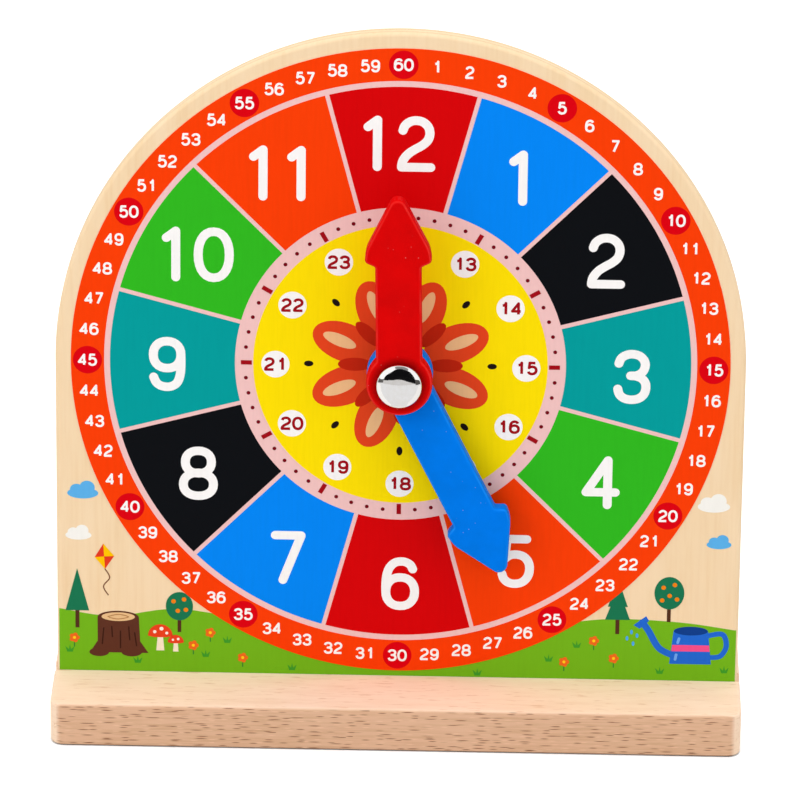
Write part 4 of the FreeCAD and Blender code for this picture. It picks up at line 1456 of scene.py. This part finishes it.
# The studio as the dome mirrors it: degrees from the camera's side, and the lowest and
# highest elevation at each. Panels stand at this reach, or lie on the floor where that is
# nearer, each a little behind the one before.
STUDIO_REACH = 1.6
STUDIO_STEP = 0.05
STUDIO_GLOW = 1.38
STUDIO_CARDS = {
    "dark_curtain": ("#0E0E10", [
        (-40, 3, 5), (-36, 4, 14.5), (-30, 5, 21), (-24, 7, 26), (-18, 7.5, 30.5), (-12, 9, 34),
        (-6, 10, 36), (0, 10, 37), (6, 9.5, 37), (12, 7.5, 35), (18, 5, 33), (24, 2.5, 30),
        (30, 0, 26), (36, -3, 16), (40, -4, 5)]),
    "left_wall": ("#5C5A58", [(-62, -5, 9), (-54, -5, 7), (-48, -4.5, 4), (-40, -2, 5.5)]),
    "right_wall": ("#504E4C", [(39, -7, 6), (44, -7.5, 4.5), (50, -7, 2.5), (60, -8, 2)]),
    "grey_ceiling": ("#868686", [
        (-18, 42, 62), (-13, 37, 62), (-6, 35, 62), (6, 36, 62), (18, 32, 62), (24, 30.5, 62),
        (31, 40, 62)]),
    "left_softbox": ("#FCFCFC", [
        (-85, 5, 62), (-48, 4, 62), (-42, 4, 62), (-36, 10, 62), (-30, 20, 62), (-24, 26, 62),
        (-18, 30, 62), (-12, 33, 62)]),
    "right_softbox": ("#F8F8F8", [
        (24, 29, 62), (30, 23, 62), (36, 12, 62), (42, 5, 62), (48, 2, 62), (85, -1, 62)]),
    "pale_backdrop": ("#CCCAC8", [
        (-50, -3.9, 5), (-34, -3.9, 9), (-24, -3.9, 12), (-12, -3.9, 15), (6, -3.9, 15),
        (12, -3.9, 13), (24, -3.9, 8), (36, -3.9, 2)]),
    "left_sheet": ("#F6F4F0", [
        (-85, -66, -5.5), (-60, -66, -5.5), (-46, -60, -7), (-42, -58, -26), (-36, -57, -38),
        (-30, -56, -46), (-25, -56, -52)]),
    "right_sheet": ("#EFEDEA", [
        (24, -57, -47), (30, -58, -41), (36, -60, -33), (42, -62, -20), (46, -62, -10),
        (60, -64, -9), (85, -64, -9)]),
    "front_sheet": ("#ECEAE6", [(-44, -68, -57), (-20, -70, -57), (20, -70, -57), (45, -68, -58)]),
}


def studio_card(name, colour):
    """A card or lit panel of the studio, which shows only in reflections."""
    material, tree, shader = new_material(name, {"Base Color": (0, 0, 0, 1), "Roughness": 1.0,
                                                 "Specular IOR Level": 0.0,
                                                 "Emission Strength": STUDIO_GLOW})
    place = millimetres(tree, False, (90.0, 90.0, 90.0))
    shade = add(tree, "ShaderNodeTexNoise", {"Vector": place, "Scale": 1.0})
    tone = add(tree, "ShaderNodeMix", {0: shade, 6: rgba(colour),
                                       7: rgba(tuple(part * 0.92 for part in colour))}, 2,
               data_type="RGBA")
    tree.links.new(tone, shader.inputs["Emission Color"])
    return material


def studio_mesh(name, rows, reach):
    """A panel round the pivot between two elevations, as seen from there."""
    verts, faces = [], []
    for azimuth, *elevations in rows:
        for elevation in elevations:
            across, up = math.radians(azimuth), math.radians(elevation)
            way = Vector((math.cos(up) * math.sin(across), -math.cos(up) * math.cos(across),
                          math.sin(up)))
            to_floor = (PIVOT.z - MM) / -way.z if way.z < 0 else reach
            verts.append(PIVOT + min(reach, to_floor) * way)
    for step in range(len(rows) - 1):
        a = 2 * step
        faces.append((a, a + 1, a + 3, a + 2))
    mesh = bpy.data.meshes.new(name)
    mesh.from_pydata(verts, [], faces)
    return mesh


class CLOCK_OT_stage(bpy.types.Operator):
    """Set up the camera, the floor, the studio's cards and the lamps"""
    bl_idname = "clock.make_stage"
    bl_label = "Stage"

    def execute(self, context):
        scene = context.scene
        stage = scene.clock_stage
        scene.view_settings.view_transform = "Standard"

        camera = bpy.data.objects.new("camera", bpy.data.cameras.new("camera"))
        camera.data.lens = CAMERA_LENS
        camera.data.sensor_width = CAMERA_SENSOR
        camera.data.clip_end = CAMERA_CLIP
        facing = (CAMERA_AIM - CAMERA_PLACE).to_track_quat("-Z", "Y").to_matrix().to_4x4()
        camera.matrix_world = (Matrix.Translation(CAMERA_PLACE) @ facing
                               @ Matrix.Rotation(CAMERA_ROLL, 4, "Z"))
        scene.collection.objects.link(camera)
        scene.camera = camera

        floor_mesh = bpy.data.meshes.new("floor")
        half = FLOOR_HALF
        floor_mesh.from_pydata([(-half, -half, 0), (half, -half, 0), (half, half, 0),
                                (-half, half, 0)], [], [(0, 1, 2, 3)])
        floor_mesh.materials.append(paper_floor(stage.pure_floor))
        floor = bpy.data.objects.new("floor", floor_mesh)
        scene.collection.objects.link(floor)

        for step, (name, (colour, rows)) in enumerate(STUDIO_CARDS.items()):
            mesh = studio_mesh(name, rows, STUDIO_REACH + STUDIO_STEP * step)
            mesh.materials.append(studio_card(name.replace("_", " "), linear(colour)))
            card = bpy.data.objects.new(name, mesh)
            scene.collection.objects.link(card)
            for ray in ("camera", "diffuse", "shadow", "transmission"):
                setattr(card, "visible_" + ray, False)

        world = bpy.data.worlds.new("studio")
        world.use_nodes = True
        tree = world.node_tree
        tree.nodes.clear()
        rays = add(tree, "ShaderNodeLightPath").node.outputs
        seen = rays["Is Camera Ray"]
        for other in ("Is Glossy Ray", "Is Transmission Ray"):
            seen = add(tree, "ShaderNodeMath", {0: seen, 1: rays[other]}, operation="MAXIMUM")
        strength = add(tree, "ShaderNodeMath", {0: seen, 1: 1.0 - stage.fill, 2: stage.fill},
                       operation="MULTIPLY_ADD")
        sky = add(tree, "ShaderNodeBackground", {"Color": (1, 1, 1, 1), "Strength": strength})
        add(tree, "ShaderNodeOutputWorld", {0: sky})
        scene.world = world

        for name, place, size, setting in LAMPS:
            lamp(name, place, size, getattr(stage, setting))
        return {"FINISHED"}


class CLOCK_PT_panel(bpy.types.Panel):
    """Makes the clock's pieces from the sidebar"""
    bl_label = "Teaching clock"
    bl_idname = "CLOCK_PT_panel"
    bl_space_type = "VIEW_3D"
    bl_region_type = "UI"
    bl_category = "Clock"

    def draw(self, context):
        for name in SETTINGS:
            settings = getattr(context.scene, name)
            box = self.layout.box()
            for field in settings.bl_rna.properties:
                if field.identifier not in ("rna_type", "name"):
                    box.prop(settings, field.identifier)
        for operator in OPERATORS:
            self.layout.operator(operator.bl_idname)


SETTINGS = {
    "clock_wood": ClockWoodSettings,
    "clock_hands": ClockHandSettings,
    "clock_print": ClockPrintSettings,
    "clock_metal": ClockMetalSettings,
    "clock_stage": ClockStageSettings,
}
OPERATORS = (CLOCK_OT_stage, CLOCK_OT_board, CLOCK_OT_base, CLOCK_OT_hands, CLOCK_OT_bolt,
             CLOCK_OT_fittings, CLOCK_OT_dial, CLOCK_OT_numbers, CLOCK_OT_rosette,
             CLOCK_OT_picture)


def register():
    for kind in (*SETTINGS.values(), *OPERATORS, CLOCK_PT_panel):
        bpy.utils.register_class(kind)
    for name, kind in SETTINGS.items():
        setattr(bpy.types.Scene, name, PointerProperty(type=kind))


def unregister():
    for name in SETTINGS:
        delattr(bpy.types.Scene, name)
    for kind in reversed((*SETTINGS.values(), *OPERATORS, CLOCK_PT_panel)):
        bpy.utils.unregister_class(kind)


def main():
    register()
    for operator in OPERATORS:
        group, name = operator.bl_idname.split(".")
        getattr(getattr(bpy.ops, group), name)()


if __name__ == "__main__":
    main()
